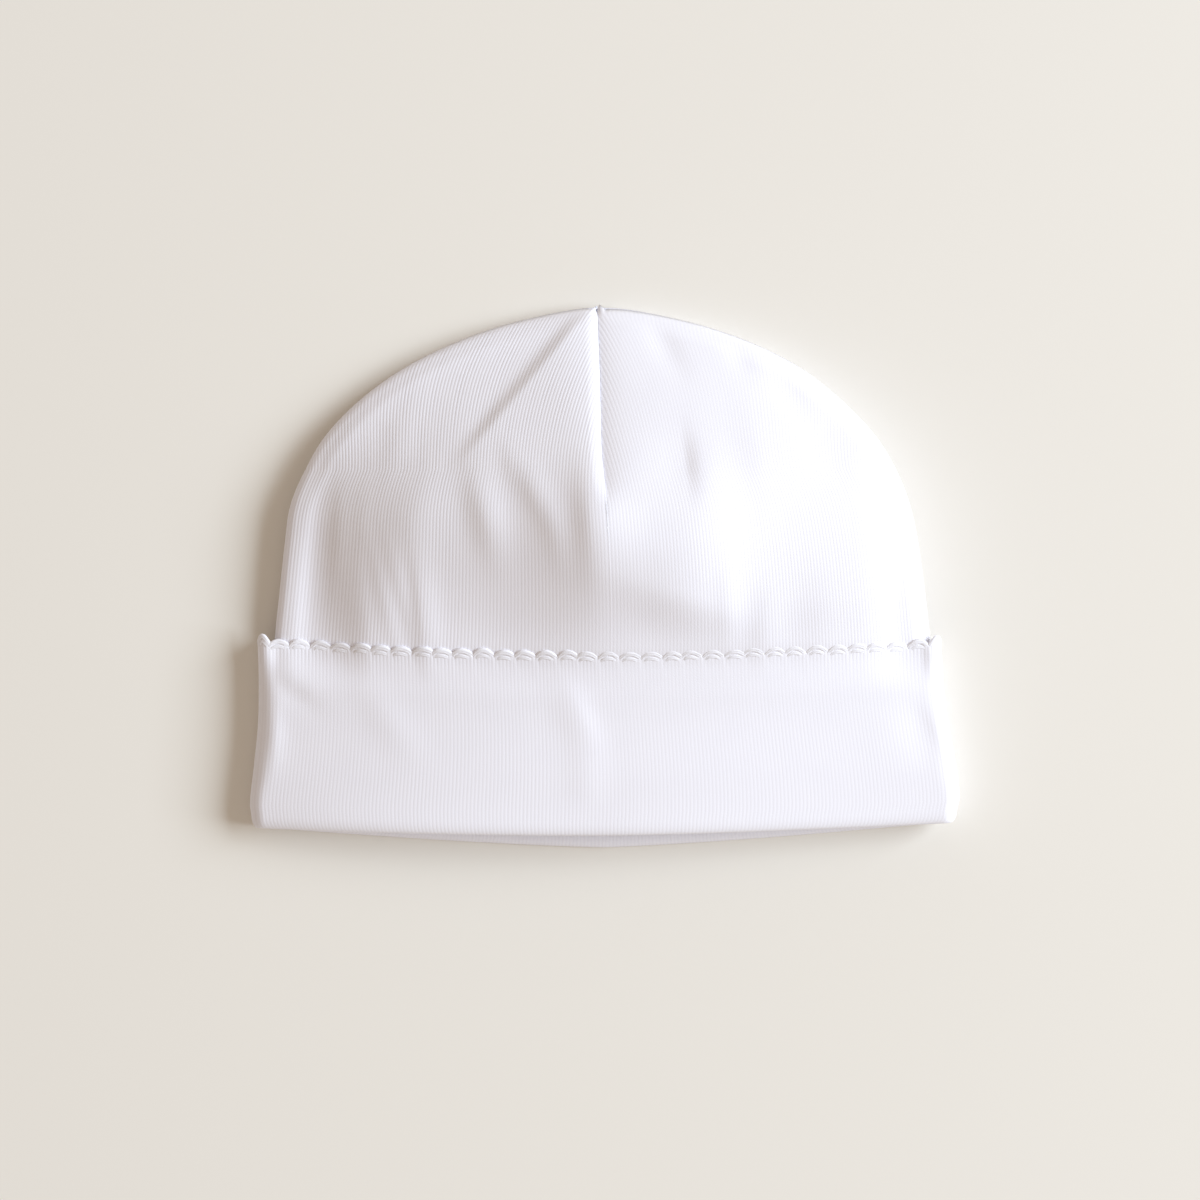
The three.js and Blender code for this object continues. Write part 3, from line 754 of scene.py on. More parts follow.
    def pinch(self, rib: Array, along: Array, to_side: Array, to_dart: Array) -> tuple[Array, Array]:
        """How the seams draw the cloth in near them.

        Args:
            rib: Rib numbers.
            along: Row numbers of SECTIONS.
            to_side: Distances to the nearest side seam.
            to_dart: Distances to the nearest dart.

        Returns:
            How far the cloth is raised, and the share of the ribs' relief that is left.
        """
        quarter, _ = self._quarter(rib)
        y = self.cloth.sections.at(along)["y"]
        tip, width, depth, is_rolled = (
            np.choose(quarter, [getattr(dart, column) for dart in DARTS])
            for column in ("tip", "width", "depth", "is_rolled")
        )
        near = to_dart / width
        rolled = -depth * np.maximum(1 - near, 0) ** self.ROLL_POWER
        plain = -depth * np.exp(-near)
        at_point = self.DART_POINT * smoothstep(POINT_Y - self.POINT_REACH, POINT_Y, y)
        at_dart = smoothstep(*self.DART_GROWS, y - tip) * (1 - at_point)
        starts, full = self.SIDE_GROWS
        at_side = smoothstep(SIDE_SEAM_TIP_Y + starts, SIDE_SEAM_TIP_Y + full, y)
        side = np.exp(-to_side / self.SIDE_WIDTH)
        height = at_dart * np.where(is_rolled, rolled, plain) - at_side * self.SIDE_DEPTH * side
        rolled = np.exp(-((self.ROLL_CALM * near) ** self.ROLL_SHARPNESS))
        plain = self.PLAIN_SMOOTHED * np.exp(-self.PLAIN_CALM * near)
        smooth = np.where(is_rolled, rolled, plain)
        relief = (1 - self.SMOOTHED * at_dart * smooth) * (1 - self.SMOOTHED * at_side * side)
        return height, relief


@dataclass(frozen=True)
class RibHeight:
    """How high the ribs stand across the beanie: less where the cloth is stretched or pressed."""

    y: float
    far_left: float
    left: float
    beside_left: float
    beside_right: float
    right: float
    far_right: float


# y, far_left, left, beside_left, beside_right, right, far_right
RIB_HEIGHTS = (
    RibHeight(-54.0, 0.022, 0.025, 0.023, 0.021, 0.021, 0.018),
    RibHeight(-34.0, 0.016, 0.021, 0.019, 0.014, 0.014, 0.017),
    RibHeight(-22.0, 0.016, 0.018, 0.017, 0.009, 0.007, 0.011),
    RibHeight(-14.0, 0.038, 0.036, 0.017, 0.015, 0.022, 0.032),
    RibHeight(-4.0, 0.035, 0.030, 0.015, 0.014, 0.027, 0.040),
    RibHeight(12.0, 0.045, 0.038, 0.022, 0.026, 0.036, 0.040),
    RibHeight(24.0, 0.060, 0.052, 0.038, 0.024, 0.013, 0.035),
    RibHeight(36.0, 0.062, 0.060, 0.063, 0.020, 0.009, 0.030),
    RibHeight(56.0, 0.060, 0.070, 0.060, 0.012, 0.009, 0.025),
)
RIB_HEIGHT_PLACES = (-70.0, -35.0, -3.0, 4.0, 25.0, 60.0)  # across, for those columns


class RibRelief:
    """The corrugation of the knit: no two ribs stand quite alike."""

    UNEVEN = 0.35
    PATCH = 9.0  # millimetres along a rib over which its height changes
    PATCHES = 24
    WAVE_AT = (0.0, 1 / 3, 2 / 3, 1.0)  # the corners of one rib, from ridge to ridge
    WAVE = (1.0, -0.5, -0.5, 1.0)
    WAVE_MIDDLE = 0.25  # between a ridge and a valley

    def __init__(self, seed: int) -> None:
        """Draws the unevenness of each rib.

        Args:
            seed: Of the random draws.
        """
        draw = np.random.default_rng(seed)
        self.uneven = 1 + self.UNEVEN * draw.uniform(-1, 1, (RIBS + 1, self.PATCHES))
        self.heights = SmoothTable(RIB_HEIGHTS)

    def at(self, rib: Array, length: Array, points: Array) -> Array:
        """The relief of the ribs.

        Args:
            rib: Rib numbers.
            length: Lengths along the ribs.
            points: Where the cloth is.

        Returns:
            How far the cloth is raised, in millimetres.
        """
        index = np.mod(np.round(rib).astype(int), RIBS)
        patch = np.clip(length / self.PATCH, 0, self.PATCHES - 1.01)
        row = patch.astype(int)
        share = patch - row
        height = self.uneven[index, row] * (1 - share) + self.uneven[index, row + 1] * share
        columns = self.heights.at(self.heights.row_at(points[..., 1]))
        ends = [columns[name] for name in self.heights.names[1:]]
        whole = np.zeros(height.shape)
        place = np.interp(points[..., 0], RIB_HEIGHT_PLACES, np.arange(len(ends)))
        for number, end in enumerate(ends):
            whole += end * np.maximum(1 - np.abs(place - number), 0)
        return whole * height * (np.interp(np.mod(rib, 1), self.WAVE_AT, self.WAVE) - self.WAVE_MIDDLE)


def grid_mesh(name: str, columns: int, rows: int, half: float = 1.0) -> bpy.types.Mesh:
    """Makes a flat grid.

    Args:
        name: The mesh's name.
        columns: Points across.
        rows: Points up.
        half: Half its width and length.

    Returns:
        The mesh.
    """
    build = bmesh.new()
    bmesh.ops.create_grid(build, x_segments=columns - 1, y_segments=rows - 1, size=half)
    mesh = bpy.data.meshes.new(name)
    build.to_mesh(mesh)
    build.free()
    return mesh


def add_object(name: str, data: bpy.types.ID) -> bpy.types.Object:
    """Puts an object into the scene, at the origin.

    Args:
        name: The object's name.
        data: Its mesh, curve, light or camera.

    Returns:
        The object.
    """
    made = bpy.data.objects.new(name, data)
    bpy.context.scene.collection.objects.link(made)
    return made


def shade_smooth(mesh: bpy.types.Mesh) -> None:
    """Lets the shading run on from face to face."""
    mesh.polygons.foreach_set("use_smooth", np.ones(len(mesh.polygons), bool))


def knit_mesh(
    name: str, points: Array, ribs: Array, courses: Array, walls: Array, is_ring: bool
) -> bpy.types.Object:
    """Makes a sheet of knit cloth from rows of points.

    Args:
        name: The piece's name.
        points: Rows by columns by three, in millimetres, with the outside on the left going along a row.
        ribs: The rib number of each column, for the pattern of the loops.
        courses: The course number of each point, for the same.
        walls: The share of the cloth's thickness that each point has.
        is_ring: Whether the last column meets the first.

    Returns:
        The object, with a wall of the cloth's thickness.
    """
    rows, columns = points.shape[:2]
    mesh = grid_mesh(name, columns, rows)
    flat = np.zeros(len(mesh.vertices) * 3)
    mesh.vertices.foreach_get("co", flat)
    flat = flat.reshape(-1, 3)
    column = np.round((flat[:, 0] + 1) / 2 * (columns - 1)).astype(int)
    row = np.round((flat[:, 1] + 1) / 2 * (rows - 1)).astype(int)
    points[..., 2] = np.maximum(points[..., 2], LEAST_Z)
    mesh.vertices.foreach_set("co", (points[row, column] * METRES).ravel())
    corner = np.zeros(len(mesh.loops), int)
    mesh.loops.foreach_get("vertex_index", corner)
    pattern = np.stack([np.broadcast_to(ribs, (rows, columns))[row, column], courses[row, column]], axis=-1)
    mesh.uv_layers.new(name="knit").data.foreach_set("uv", pattern[corner].astype(np.float32).ravel())
    shade_smooth(mesh)
    mesh.update()
    piece = add_object(name, mesh)
    group = piece.vertex_groups.new(name="wall")
    levels = np.round(walls[row, column] * WALL_LEVELS).astype(int)
    for level in np.unique(levels):
        group.add(np.flatnonzero(levels == level).tolist(), level / WALL_LEVELS, "REPLACE")
    if is_ring:
        seam = piece.modifiers.new("ring", "WELD")
        seam.merge_threshold = 1e-7  # metres: only points in one place
    wall = piece.modifiers.new("wall", "SOLIDIFY")
    wall.vertex_group = group.name
    wall.thickness = WALL * METRES
    wall.offset = -1.0
    wall.use_rim = True
    return piece


def linear_colour(code: str) -> tuple[float, float, float, float]:
    """Turns an sRGB hex value into the linear colour that a shader takes.

    Args:
        code: Such as "#F6F5FC".

    Returns:
        Red, green, blue and an alpha of 1.
    """
    made = []
    for start in (1, 3, 5):
        value = int(code[start : start + 2], 16) / 255
        made.append(value / 12.92 if value <= 0.04045 else ((value + 0.055) / 1.055) ** 2.4)
    return (made[0], made[1], made[2], 1.0)


def add_node(
    tree: bpy.types.NodeTree, kind: str, inputs: dict[str | int, object] | None = None, **settings: object
) -> bpy.types.Node:
    """Adds a node.

    Args:
        tree: The material's node tree.
        kind: The node's type, without the ShaderNode that it starts with.
        inputs: Values for its sockets, the sockets that feed them, or nodes whose first output does.
        settings: Its properties.

    Returns:
        The node.
    """
    node = tree.nodes.new(f"ShaderNode{kind}")
    for name, value in settings.items():
        setattr(node, name, value)
    for socket, value in (inputs or {}).items():
        source = value.outputs[0] if isinstance(value, bpy.types.Node) else value
        if isinstance(source, bpy.types.NodeSocket):
            tree.links.new(source, node.inputs[socket])
        else:
            node.inputs[socket].default_value = source
    return node


@dataclass(frozen=True)
class Cotton:
    """Combed cotton, of which the cloth and the thread are made: matt, with a soft bloom of fibre ends."""

    name: str = "white_cotton"
    # The rib knit paints the valley colour between its ribs as painted shade; the thread uses it as the
    # darker tone of its fibres.
    ridge: str = "#F6F5FC"
    valley: str = "#F1F0F8"
    fibre_size: float = 0.25  # millimetres, coarser than real fibres, so that they show
    fibre_depth: float = 0.03
    fibre_detail: float = 3.0
    roughness: float = 0.85
    refraction: float = 1.5
    gloss: float = 0.2
    sheen: float = 0.15
    sheen_roughness: float = 0.6

    def make(self) -> bpy.types.Material:
        """Builds the material.

        Returns:
            The material.
        """
        material = bpy.data.materials.new(self.name)
        material.use_nodes = True
        tree = material.node_tree
        tree.nodes.clear()
        place = add_node(tree, "TexCoord").outputs["Object"]
        grain = {"Vector": place, "Scale": 1 / (self.fibre_size * METRES), "Detail": self.fibre_detail}
        fibres = add_node(tree, "TexNoise", grain)
        height, share, roughness = self._pattern(tree, place, fibres)
        bump = add_node(tree, "Bump", {"Strength": 1.0, "Distance": 1.0, "Height": height})
        # Where share is low the valley colour shows: painted shade in the knit's rib valleys, the fibres'
        # darker tone on the thread.
        colours = {0: share, 6: linear_colour(self.valley), 7: linear_colour(self.ridge)}
        colour = add_node(tree, "Mix", colours, data_type="RGBA")
        shader = add_node(
            tree,
            "BsdfPrincipled",
            {
                "Base Color": colour.outputs[2],
                "Roughness": roughness,
                "Normal": bump,
                "IOR": self.refraction,
                "Specular IOR Level": self.gloss,
                "Sheen Weight": self.sheen,
                "Sheen Roughness": self.sheen_roughness,
            },
        )
        add_node(tree, "OutputMaterial", {"Surface": shader})
        return material

    def _pattern(
        self, tree: bpy.types.NodeTree, place: bpy.types.NodeSocket, fibres: bpy.types.Node
    ) -> tuple[bpy.types.Node, bpy.types.Node, bpy.types.Node | float]:
        """Draws what shows on the surface: here no more than the fibres.

        Args:
            tree: The material's node tree.
            place: The place on the piece.
            fibres: The noise of the fibres.

        Returns:
            The height of the surface, how far its colour is the ridge's, and its roughness.
        """
        height = add_node(tree, "Math", {0: fibres, 1: self.fibre_depth * METRES}, operation="MULTIPLY")
        return height, fibres, self.roughness


@dataclass(frozen=True)
class RibKnit(Cotton):
    """White combed cotton in a fine 1x1 rib: matt, with painted shade that makes its valleys darker than
    its ridges, its loops slanted.
    """

    name: str = "white_rib_knit"
    ridge_edges: tuple[float, float] = (0.02, 0.42)  # in ribs from the middle of a valley
    rib_depth: float = 0.004  # millimetres
    loop_depth: float = 0.005
    loop_slant: float = 1.4  # courses by which a loop leans, to each rib
    mottle_scale: float = 140.0  # paler and darker patches of about 7 mm
    mottle_detail: float = 4.0
    mottle_range: tuple[float, float] = (0.3, 0.7)
    least_pale: float = 0.55
    roughness: float = 0.82
    roughest: float = 0.96

    def _pattern(
        self, tree: bpy.types.NodeTree, place: bpy.types.NodeSocket, fibres: bpy.types.Node
    ) -> tuple[bpy.types.Node, bpy.types.Node, bpy.types.Node | float]:
        """Draws the ribs and the loops by the knit's own rib and course numbers, and paints shade into the
        valleys between the ribs.

        Args:
            tree: The material's node tree.
            place: The place on the piece.
            fibres: The noise of the fibres.

        Returns:
            The height of the surface, how far its colour is the ridge's, and its roughness.
        """
        split = add_node(tree, "SeparateXYZ", {0: add_node(tree, "UVMap", uv_map="knit")})
        across = add_node(tree, "Math", {0: split.outputs["X"]}, operation="FRACT")
        centred = add_node(tree, "Math", {0: across, 1: 0.5}, operation="SUBTRACT")
        from_valley = add_node(tree, "Math", {0: centred}, operation="ABSOLUTE")
        low, high = self.ridge_edges
        edges = {"Value": from_valley, "From Min": low, "From Max": high}
        ridge = add_node(tree, "MapRange", edges, interpolation_type="SMOOTHSTEP")
        leaning = {0: from_valley, 1: self.loop_slant, 2: split.outputs["Y"]}
        slant = add_node(tree, "Math", leaning, operation="MULTIPLY_ADD")
        phase = add_node(tree, "Math", {0: slant, 1: 2 * math.pi}, operation="MULTIPLY")
        loops = add_node(tree, "Math", {0: phase}, operation="SINE")
        height = add_node(tree, "Math", {0: loops, 1: self.loop_depth * METRES / 2}, operation="MULTIPLY")
        for raised, depth in ((ridge, self.rib_depth), (fibres, self.fibre_depth)):
            added = {0: raised, 1: depth * METRES, 2: height}
            height = add_node(tree, "Math", added, operation="MULTIPLY_ADD")
        patches = {"Vector": place, "Scale": self.mottle_scale, "Detail": self.mottle_detail}
        low, high = self.mottle_range
        mottle = {"Value": add_node(tree, "TexNoise", patches), "From Min": low, "From Max": high}
        light = add_node(tree, "MapRange", {**mottle, "To Min": self.least_pale, "To Max": 1.0})
        # Painted shade: the valleys take the darker valley colour; the mottle also darkens the ridges in
        # random patches.
        share = add_node(tree, "Math", {0: ridge, 1: light}, operation="MULTIPLY")
        rough = {"Value": fibres, "To Min": self.roughness, "To Max": self.roughest}
        return height, share, add_node(tree, "MapRange", rough)


@dataclass(frozen=True)
class PicotThread(Cotton):
    """Soft white twisted cotton thread, thicker than sewing thread: matt, and as pale all over."""

    name: str = "white_picot_thread"
    ridge: str = "#F4F3F9"
    valley: str = "#F1F0F6"
    fibre_size: float = 0.12
    fibre_depth: float = 0.06
    gloss: float = 0.25
    sheen: float = 0.2
    sheen_roughness: float = 0.5


@dataclass(frozen=True)
class FloorPaint:
    """Pale matt paint on a smooth board: one even tone with no gloss, which only the soft shadow breaks."""

    name: str = "pale_floor"
    colour: str = "#EDE9E1"
    roughness: float = 0.9

    def make(self) -> bpy.types.Material:
        """Builds the material.

        Returns:
            The material.
        """
        material = bpy.data.materials.new(self.name)
        material.use_nodes = True
        shader = material.node_tree.nodes["Principled BSDF"]
        shader.inputs["Base Color"].default_value = linear_colour(self.colour)
        shader.inputs["Roughness"].default_value = self.roughness
        return material


@dataclass
class Crown:
    """The sewn dome of the beanie, in a front and a back piece that meet out of sight underneath."""

    cloth: LyingCloth
    wrap: int = 6  # ribs that the front piece goes on round each side fold
    front_rows: int = 80
    back_rows: int = 60
    hidden_rows: tuple[float, ...] = (SPLIT_Y, -26.0, -22.5)
    visible_from: float = -19.5
    seam_allowance: float = 0.8  # how far the cloth turns in at a seam
    thin_seam: float = 0.25  # the share of the wall's thickness there
    thin_reach: float = 2.5  # how far below it the wall is whole
    beside_dart: float = 0.1  # ribs from a dart's middle to a further column on each side
    dart_strip: float = 2.0  # how near the front dart a rib has to end to turn in like an overlapping edge
    overlap: float = 0.3  # of the front dart's left side over its right one
    overlap_width: float = 1.2
    overlap_ends: float = 2.0  # how far below the point it starts to close
    thin_overlap: float = 0.25  # how far the overlapping edge turns in
    thin_point: float = 0.7  # how much less the cloth turns in at the point
    notch: float = 0.35  # in the outline, where the seams meet at the point
    notch_width: float = 0.8
    point_y: tuple[float, float] = (POINT_Y - 5, POINT_Y - 1)  # where the cloth comes to be the point's
    seed: int = 7

    def build(self, finish: bpy.types.Material) -> list[bpy.types.Object]:
        """Makes the two pieces and dresses them.

        Args:
            finish: The knit.

        Returns:
            The front and the back piece.
        """
        gores = Gores(self.cloth)
        relief = RibRelief(self.seed)
        half = int(2 * QUARTER)
        front = self._panel("crown_front", -self.wrap, half + self.wrap, self.front_rows, gores, relief)
        back = self._panel("crown_back", half + self.wrap, RIBS - self.wrap, self.back_rows, gores, relief)
        for piece in (front, back):
            piece.data.materials.append(finish)
        return [front, back]

    def _panel(
        self, name: str, first: int, last: int, rows: int, gores: Gores, relief: RibRelief
    ) -> bpy.types.Object:
        """Makes one piece, each column of its mesh following a rib up into its seam.

        Args:
            name: The piece's name.
            first: Its first rib.
            last: Its last rib.
            rows: Rows of points up the piece.
            gores: How the ribs run into the seams.
            relief: The corrugation.

        Returns:
            The piece.
        """
        ribs = np.arange(first * COLUMNS_PER_RIB, last * COLUMNS_PER_RIB + 1) / COLUMNS_PER_RIB
        middle = QUARTER if first < QUARTER else 3 * QUARTER
        ribs = np.sort(np.append(ribs, [middle - self.beside_dart, middle + self.beside_dart]))
        ends = self.cloth.sections.at(gores.last_row(ribs))["y"]
        y = self._heights(ends, rows)
        along = self.cloth.sections.row_at(y)
        ribs_there = np.broadcast_to(ribs, y.shape)
        turn, to_side, to_dart = gores.turn(ribs_there, along)
        points = self.cloth.around(along, turn, 0.0, Layer.CROWN)
        outward = self.cloth.normals(along, turn, 0.0, Layer.CROWN)
        drawn, left = gores.pinch(ribs_there, along, to_side, to_dart)
        height = relief.at(ribs_there, y - SPLIT_Y, points) * left + drawn
        points = points + outward * height[..., None]
        notch = np.exp(-((to_dart / self.notch_width) ** 2)) * self._near_point(y)
        points[..., 1] -= self.notch * notch
        is_over = (ribs < middle) & (first < QUARTER)
        points[..., 0] += self._lap(y, to_dart, is_over)
        is_lap = is_over & (to_dart[-1] < self.dart_strip)
        allowance = np.where(is_lap, self.thin_overlap, self.seam_allowance)
        allowance = allowance * (1 - self.thin_point * self._near_point(ends))
        turned_in = points[-1:] - outward[-1:] * allowance[None, :, None]
        points = np.concatenate([points, turned_in])
        y = np.concatenate([y, y[-1:] + allowance])
        walls = self.thin_seam + (1 - self.thin_seam) * smoothstep(0, self.thin_reach, ends - y)
        return knit_mesh(name, points, ribs, (y - SPLIT_Y) / COURSE, walls, is_ring=False)

    def _heights(self, ends: Array, rows: int) -> Array:
        """Shares out the rows of points up each rib.

        Args:
            ends: The height in Y at which each rib ends.
            rows: How many rows there are.

        Returns:
            Heights in Y, rows by ribs.
        """
        hidden = np.array(self.hidden_rows)
        share = np.linspace(0, 1, rows - len(hidden))
        above = self.visible_from + share[:, None] * (ends[None, :] - self.visible_from)
        below = np.broadcast_to(hidden[:, None], (len(hidden), len(ends)))
        return np.concatenate([below, above])

    def _near_point(self, y: Array) -> Array:
        """How far the cloth at heights in Y is the point's."""
        return smoothstep(*self.point_y, y)

    def _lap(self, y: Array, to_dart: Array, is_over: Array) -> Array:
        """How far the front dart's left side reaches over its right one.

        Args:
            y: Where the points are up the beanie.
            to_dart: Their distances to the dart.
            is_over: Whether each rib is on the side that reaches over.

        Returns:
            A distance across for each point.
        """
        starts, full = Gores.DART_GROWS
        at_dart = smoothstep(DARTS[0].tip + starts, DARTS[0].tip + full, y)
        at_dart = at_dart * (1 - smoothstep(POINT_Y - self.overlap_ends, POINT_Y, y))
        return self.overlap * is_over * at_dart * np.exp(-((to_dart / self.overlap_width) ** 2))


@dataclass(frozen=True)
class ThreadPoint:
    """A point of the thread along one scallop, from the left to where it dives under the next one."""

    share: float  # of the scallop's width
    up: float
    out: float
    radius: float


# share, up, out, radius
SCALLOP_PATH = (
    ThreadPoint(-0.10, 0.40, -0.44, 0.36),
    ThreadPoint(-0.05, 0.70, -0.34, 0.44),
    ThreadPoint(0.03, 1.08, -0.25, 0.50),
    ThreadPoint(0.14, 1.46, -0.19, 0.56),
    ThreadPoint(0.27, 1.78, -0.13, 0.61),
    ThreadPoint(0.42, 1.92, -0.13, 0.64),
    ThreadPoint(0.57, 1.87, -0.16, 0.65),
    ThreadPoint(0.71, 1.66, -0.22, 0.65),
    ThreadPoint(0.84, 1.32, -0.30, 0.64),
    ThreadPoint(0.95, 0.92, -0.40, 0.60),
    ThreadPoint(1.05, 0.52, -0.52, 0.54),
    ThreadPoint(1.13, 0.15, -0.64, 0.46),
)


class ScallopedEdge:
    """The line of the cuff's raw edge, which the cloth and the thread along it share."""

    EAR_RIBS = 3.4  # how far each small ear stands from its side fold
    EAR_WIDTH = 1.2
    LEFT_EAR = 1.0
    RIGHT_EAR = 0.6
    EAR_WRAP = 20  # ribs before the left side fold that count as beside it
    UNDER_THREAD = 0.1  # how far below the thread the cloth ends
    UNEVEN_UP = 0.16
    UNEVEN_TALL = 0.08
    UNEVEN_ACROSS = 0.07
    EDGE_STEPS = 60

    def __init__(self, seed: int = 3) -> None:
        """Draws each scallop's unevenness.

        Args:
            seed: Of the random draws.
        """
        draw = np.random.default_rng(seed)
        self.path = SmoothTable(SCALLOP_PATH)
        self.lift = self.UNEVEN_UP * draw.uniform(-1, 1, SCALLOPS)
        self.stretch = 1 + self.UNEVEN_TALL * draw.uniform(-1, 1, SCALLOPS)
        self.shift = self.UNEVEN_ACROSS * draw.uniform(-1, 1, SCALLOPS)

    def ears(self, rib: Array) -> Array:
        """How far the edge pokes up beside the two side folds.

        Args:
            rib: Rib numbers.

        Returns:
            A height for each rib.
        """
        from_left = np.mod(rib + self.EAR_WRAP, RIBS) - self.EAR_WRAP - self.EAR_RIBS
        from_left = from_left / self.EAR_WIDTH
        from_right = (rib - 2 * QUARTER + self.EAR_RIBS) / self.EAR_WIDTH
        return self.LEFT_EAR * np.exp(-(from_left**2)) + self.RIGHT_EAR * np.exp(-(from_right**2))

    def thread(self, number: int, steps: int) -> tuple[Array, Array, dict[str, Array]]:
        """The thread over one scallop.

        Args:
            number: Which scallop, round from the left side fold.
            steps: How many points to give.

        Returns:
            The points' rib numbers, their heights in Y, and the table's columns.
        """
        shape = self.path.at(np.linspace(0, len(SCALLOP_PATH) - 1, steps))
        rib = (number + shape["share"] + self.shift[number]) / SCALLOPS * RIBS
        y = CUFF_TOP_Y + shape["up"] * self.stretch[number] + self.lift[number] + self.ears(rib)
        return rib, y, shape

    def cloth(self, rib: Array) -> tuple[Array, Array]:
        """The edge of the cloth under the thread.

        Args:
            rib: Rib numbers.

        Returns:
            The edge's heights in Y, and how far along its scallop each rib is, as a share of the width.
        """
        points = self.path.at(np.linspace(0, len(SCALLOP_PATH) - 1, self.EDGE_STEPS))
        place = rib / RIBS * SCALLOPS
        number = np.mod(np.floor(place).astype(int), SCALLOPS)
        share = place - np.floor(place)
        under = np.interp(share - self.shift[number], points["share"], points["up"])
        above = under * self.stretch[number] + self.lift[number] - self.UNDER_THREAD
        return CUFF_TOP_Y + above + self.ears(rib), share


@dataclass
class Cuff:
    """The cloth turned up on the outside: its face, the fold at the mouth, and a leg up the inside."""

    cloth: LyingCloth
    edge: ScallopedEdge
    face_rows: int = 27
    turn_rows: int = 9
    leg_rows: int = 7
    crowding: float = 1.5  # how much closer the rows lie near the raw edge
    thin_edge: float = 0.35  # the share of the wall's thickness at the raw edge
    thin_reach: float = 2.0  # how far from it the wall is whole
    pinch: float = 0.05  # how deep the thread draws the cloth in between scallops
    pinch_width: float = 0.12  # as a share of a scallop's
    pinch_reach: float = 2.2  # how far down it goes
    pinch_slant: float = 0.07  # how far to the right it runs, in scallops to the millimetre down
    puff: float = 0.06  # how far the cloth swells under the scallops
    puff_reach: float = 3.0
    gathered_ribs: float = 0.6  # how much higher the ribs stand at the raw edge
    gathered_reach: float = 2.5
    seed: int = 11

    def build(self, finish: bpy.types.Material) -> bpy.types.Object:
        """Makes the cuff and dresses it.

        Args:
            finish: The knit.

        Returns:
            The cuff.
        """
        ribs = np.arange(0, RIBS * COLUMNS_PER_RIB + 1) / COLUMNS_PER_RIB
        top, share = self.edge.cloth(ribs)
        along, offset, beyond, down = self._rows(top)
        turn = np.broadcast_to(ribs / QUARTER, along.shape)
        is_leg = (np.arange(len(along)) >= self.face_rows + self.turn_rows)[:, None]
        points = np.where(
            is_leg[..., None],
            self.cloth.around(along, turn, offset, Layer.CROWN, beyond),
            self.cloth.around(along, turn, offset, Layer.CUFF, beyond),
        )
        height = RibRelief(self.seed).at(np.broadcast_to(ribs, along.shape), down, points)
        height = height * (1 + self.gathered_ribs * np.exp(-((down / self.gathered_reach) ** 2)))
        height = height + self._gathered(share, down)
        points = points + self._outward(points) * height[..., None]
        points[:, -1] = points[:, 0]
        walls = self.thin_edge + (1 - self.thin_edge) * smoothstep(0, self.thin_reach, down)
        piece = knit_mesh("cuff_knit", points[::-1], ribs, (down / COURSE)[::-1], walls[::-1], is_ring=True)
        piece.data.materials.append(finish)
        return piece

    def _rows(self, top: Array) -> tuple[Array, Array, Array, Array]:
        """Lays out the mesh's rows from the raw edge down, round the fold and up the inside.

        Args:
            top: The height in Y of the raw edge at each column.

        Returns:
            Rows of SECTIONS, offsets, reaches past the mouth and lengths of cloth, each rows by columns.
        """
        sections = self.cloth.sections
        radius = (CUFF_FACE + WALL) / 2
        whole = np.ones((1, len(top)))
        share = np.linspace(0, 1, self.face_rows)[:, None] ** self.crowding
        face_y = top + (MOUTH_Y - top) * share
        angle = np.linspace(0, math.pi, self.turn_rows + 2)[1:-1, None]
        leg_y = np.linspace(MOUTH_Y, SPLIT_Y, self.leg_rows)[:, None] * whole
        start = sections.row_at(np.array(MOUTH_Y)) * np.ones_like(angle) * whole
        along = np.concatenate([sections.row_at(face_y), start, sections.row_at(leg_y)])
        turned = CUFF_FACE - radius + radius * np.cos(angle)
        offset = np.concatenate([CUFF_FACE + 0 * face_y, turned * whole, -WALL + 0 * leg_y])
        beyond = np.concatenate([0 * face_y, MOUTH_REACH * np.sin(angle) * whole, 0 * leg_y])
        face = top - face_y
        bend = face[-1:] + radius * angle
        down = np.concatenate([face, bend, bend[-1:] + leg_y - MOUTH_Y])
        return along, offset, beyond, down

    def _gathered(self, share: Array, down: Array) -> Array:
        """How far the thread draws the cloth in, or lets it swell, near the raw edge.

        Args:
            share: How far along its scallop each column is.
            down: Lengths of cloth from the raw edge.

        Returns:
            How far each point is raised.
        """
        from_valley = np.mod(share - self.pinch_slant * down + 0.5, 1) - 0.5
        across = np.exp(-((from_valley / self.pinch_width) ** 2))
        valley = across * np.exp(-((down / self.pinch_reach) ** 2))
        return self.puff * np.exp(-((down / self.puff_reach) ** 2)) - self.pinch * valley

    @staticmethod
    def _outward(points: Array) -> Array:
        """Outward directions at the rows of points of a closed ring, from the top of the cuff down.

        Args:
            points: Rows by columns by three.

        Returns:
            A direction for each point.
        """
        ring = points[:, :-1]
        onward = np.roll(ring, -COLUMNS_PER_RIB, axis=1) - np.roll(ring, COLUMNS_PER_RIB, axis=1)
        onward = np.concatenate([onward, onward[:, :1]], axis=1)
        return unit(np.cross(onward, -np.gradient(points, axis=0)))


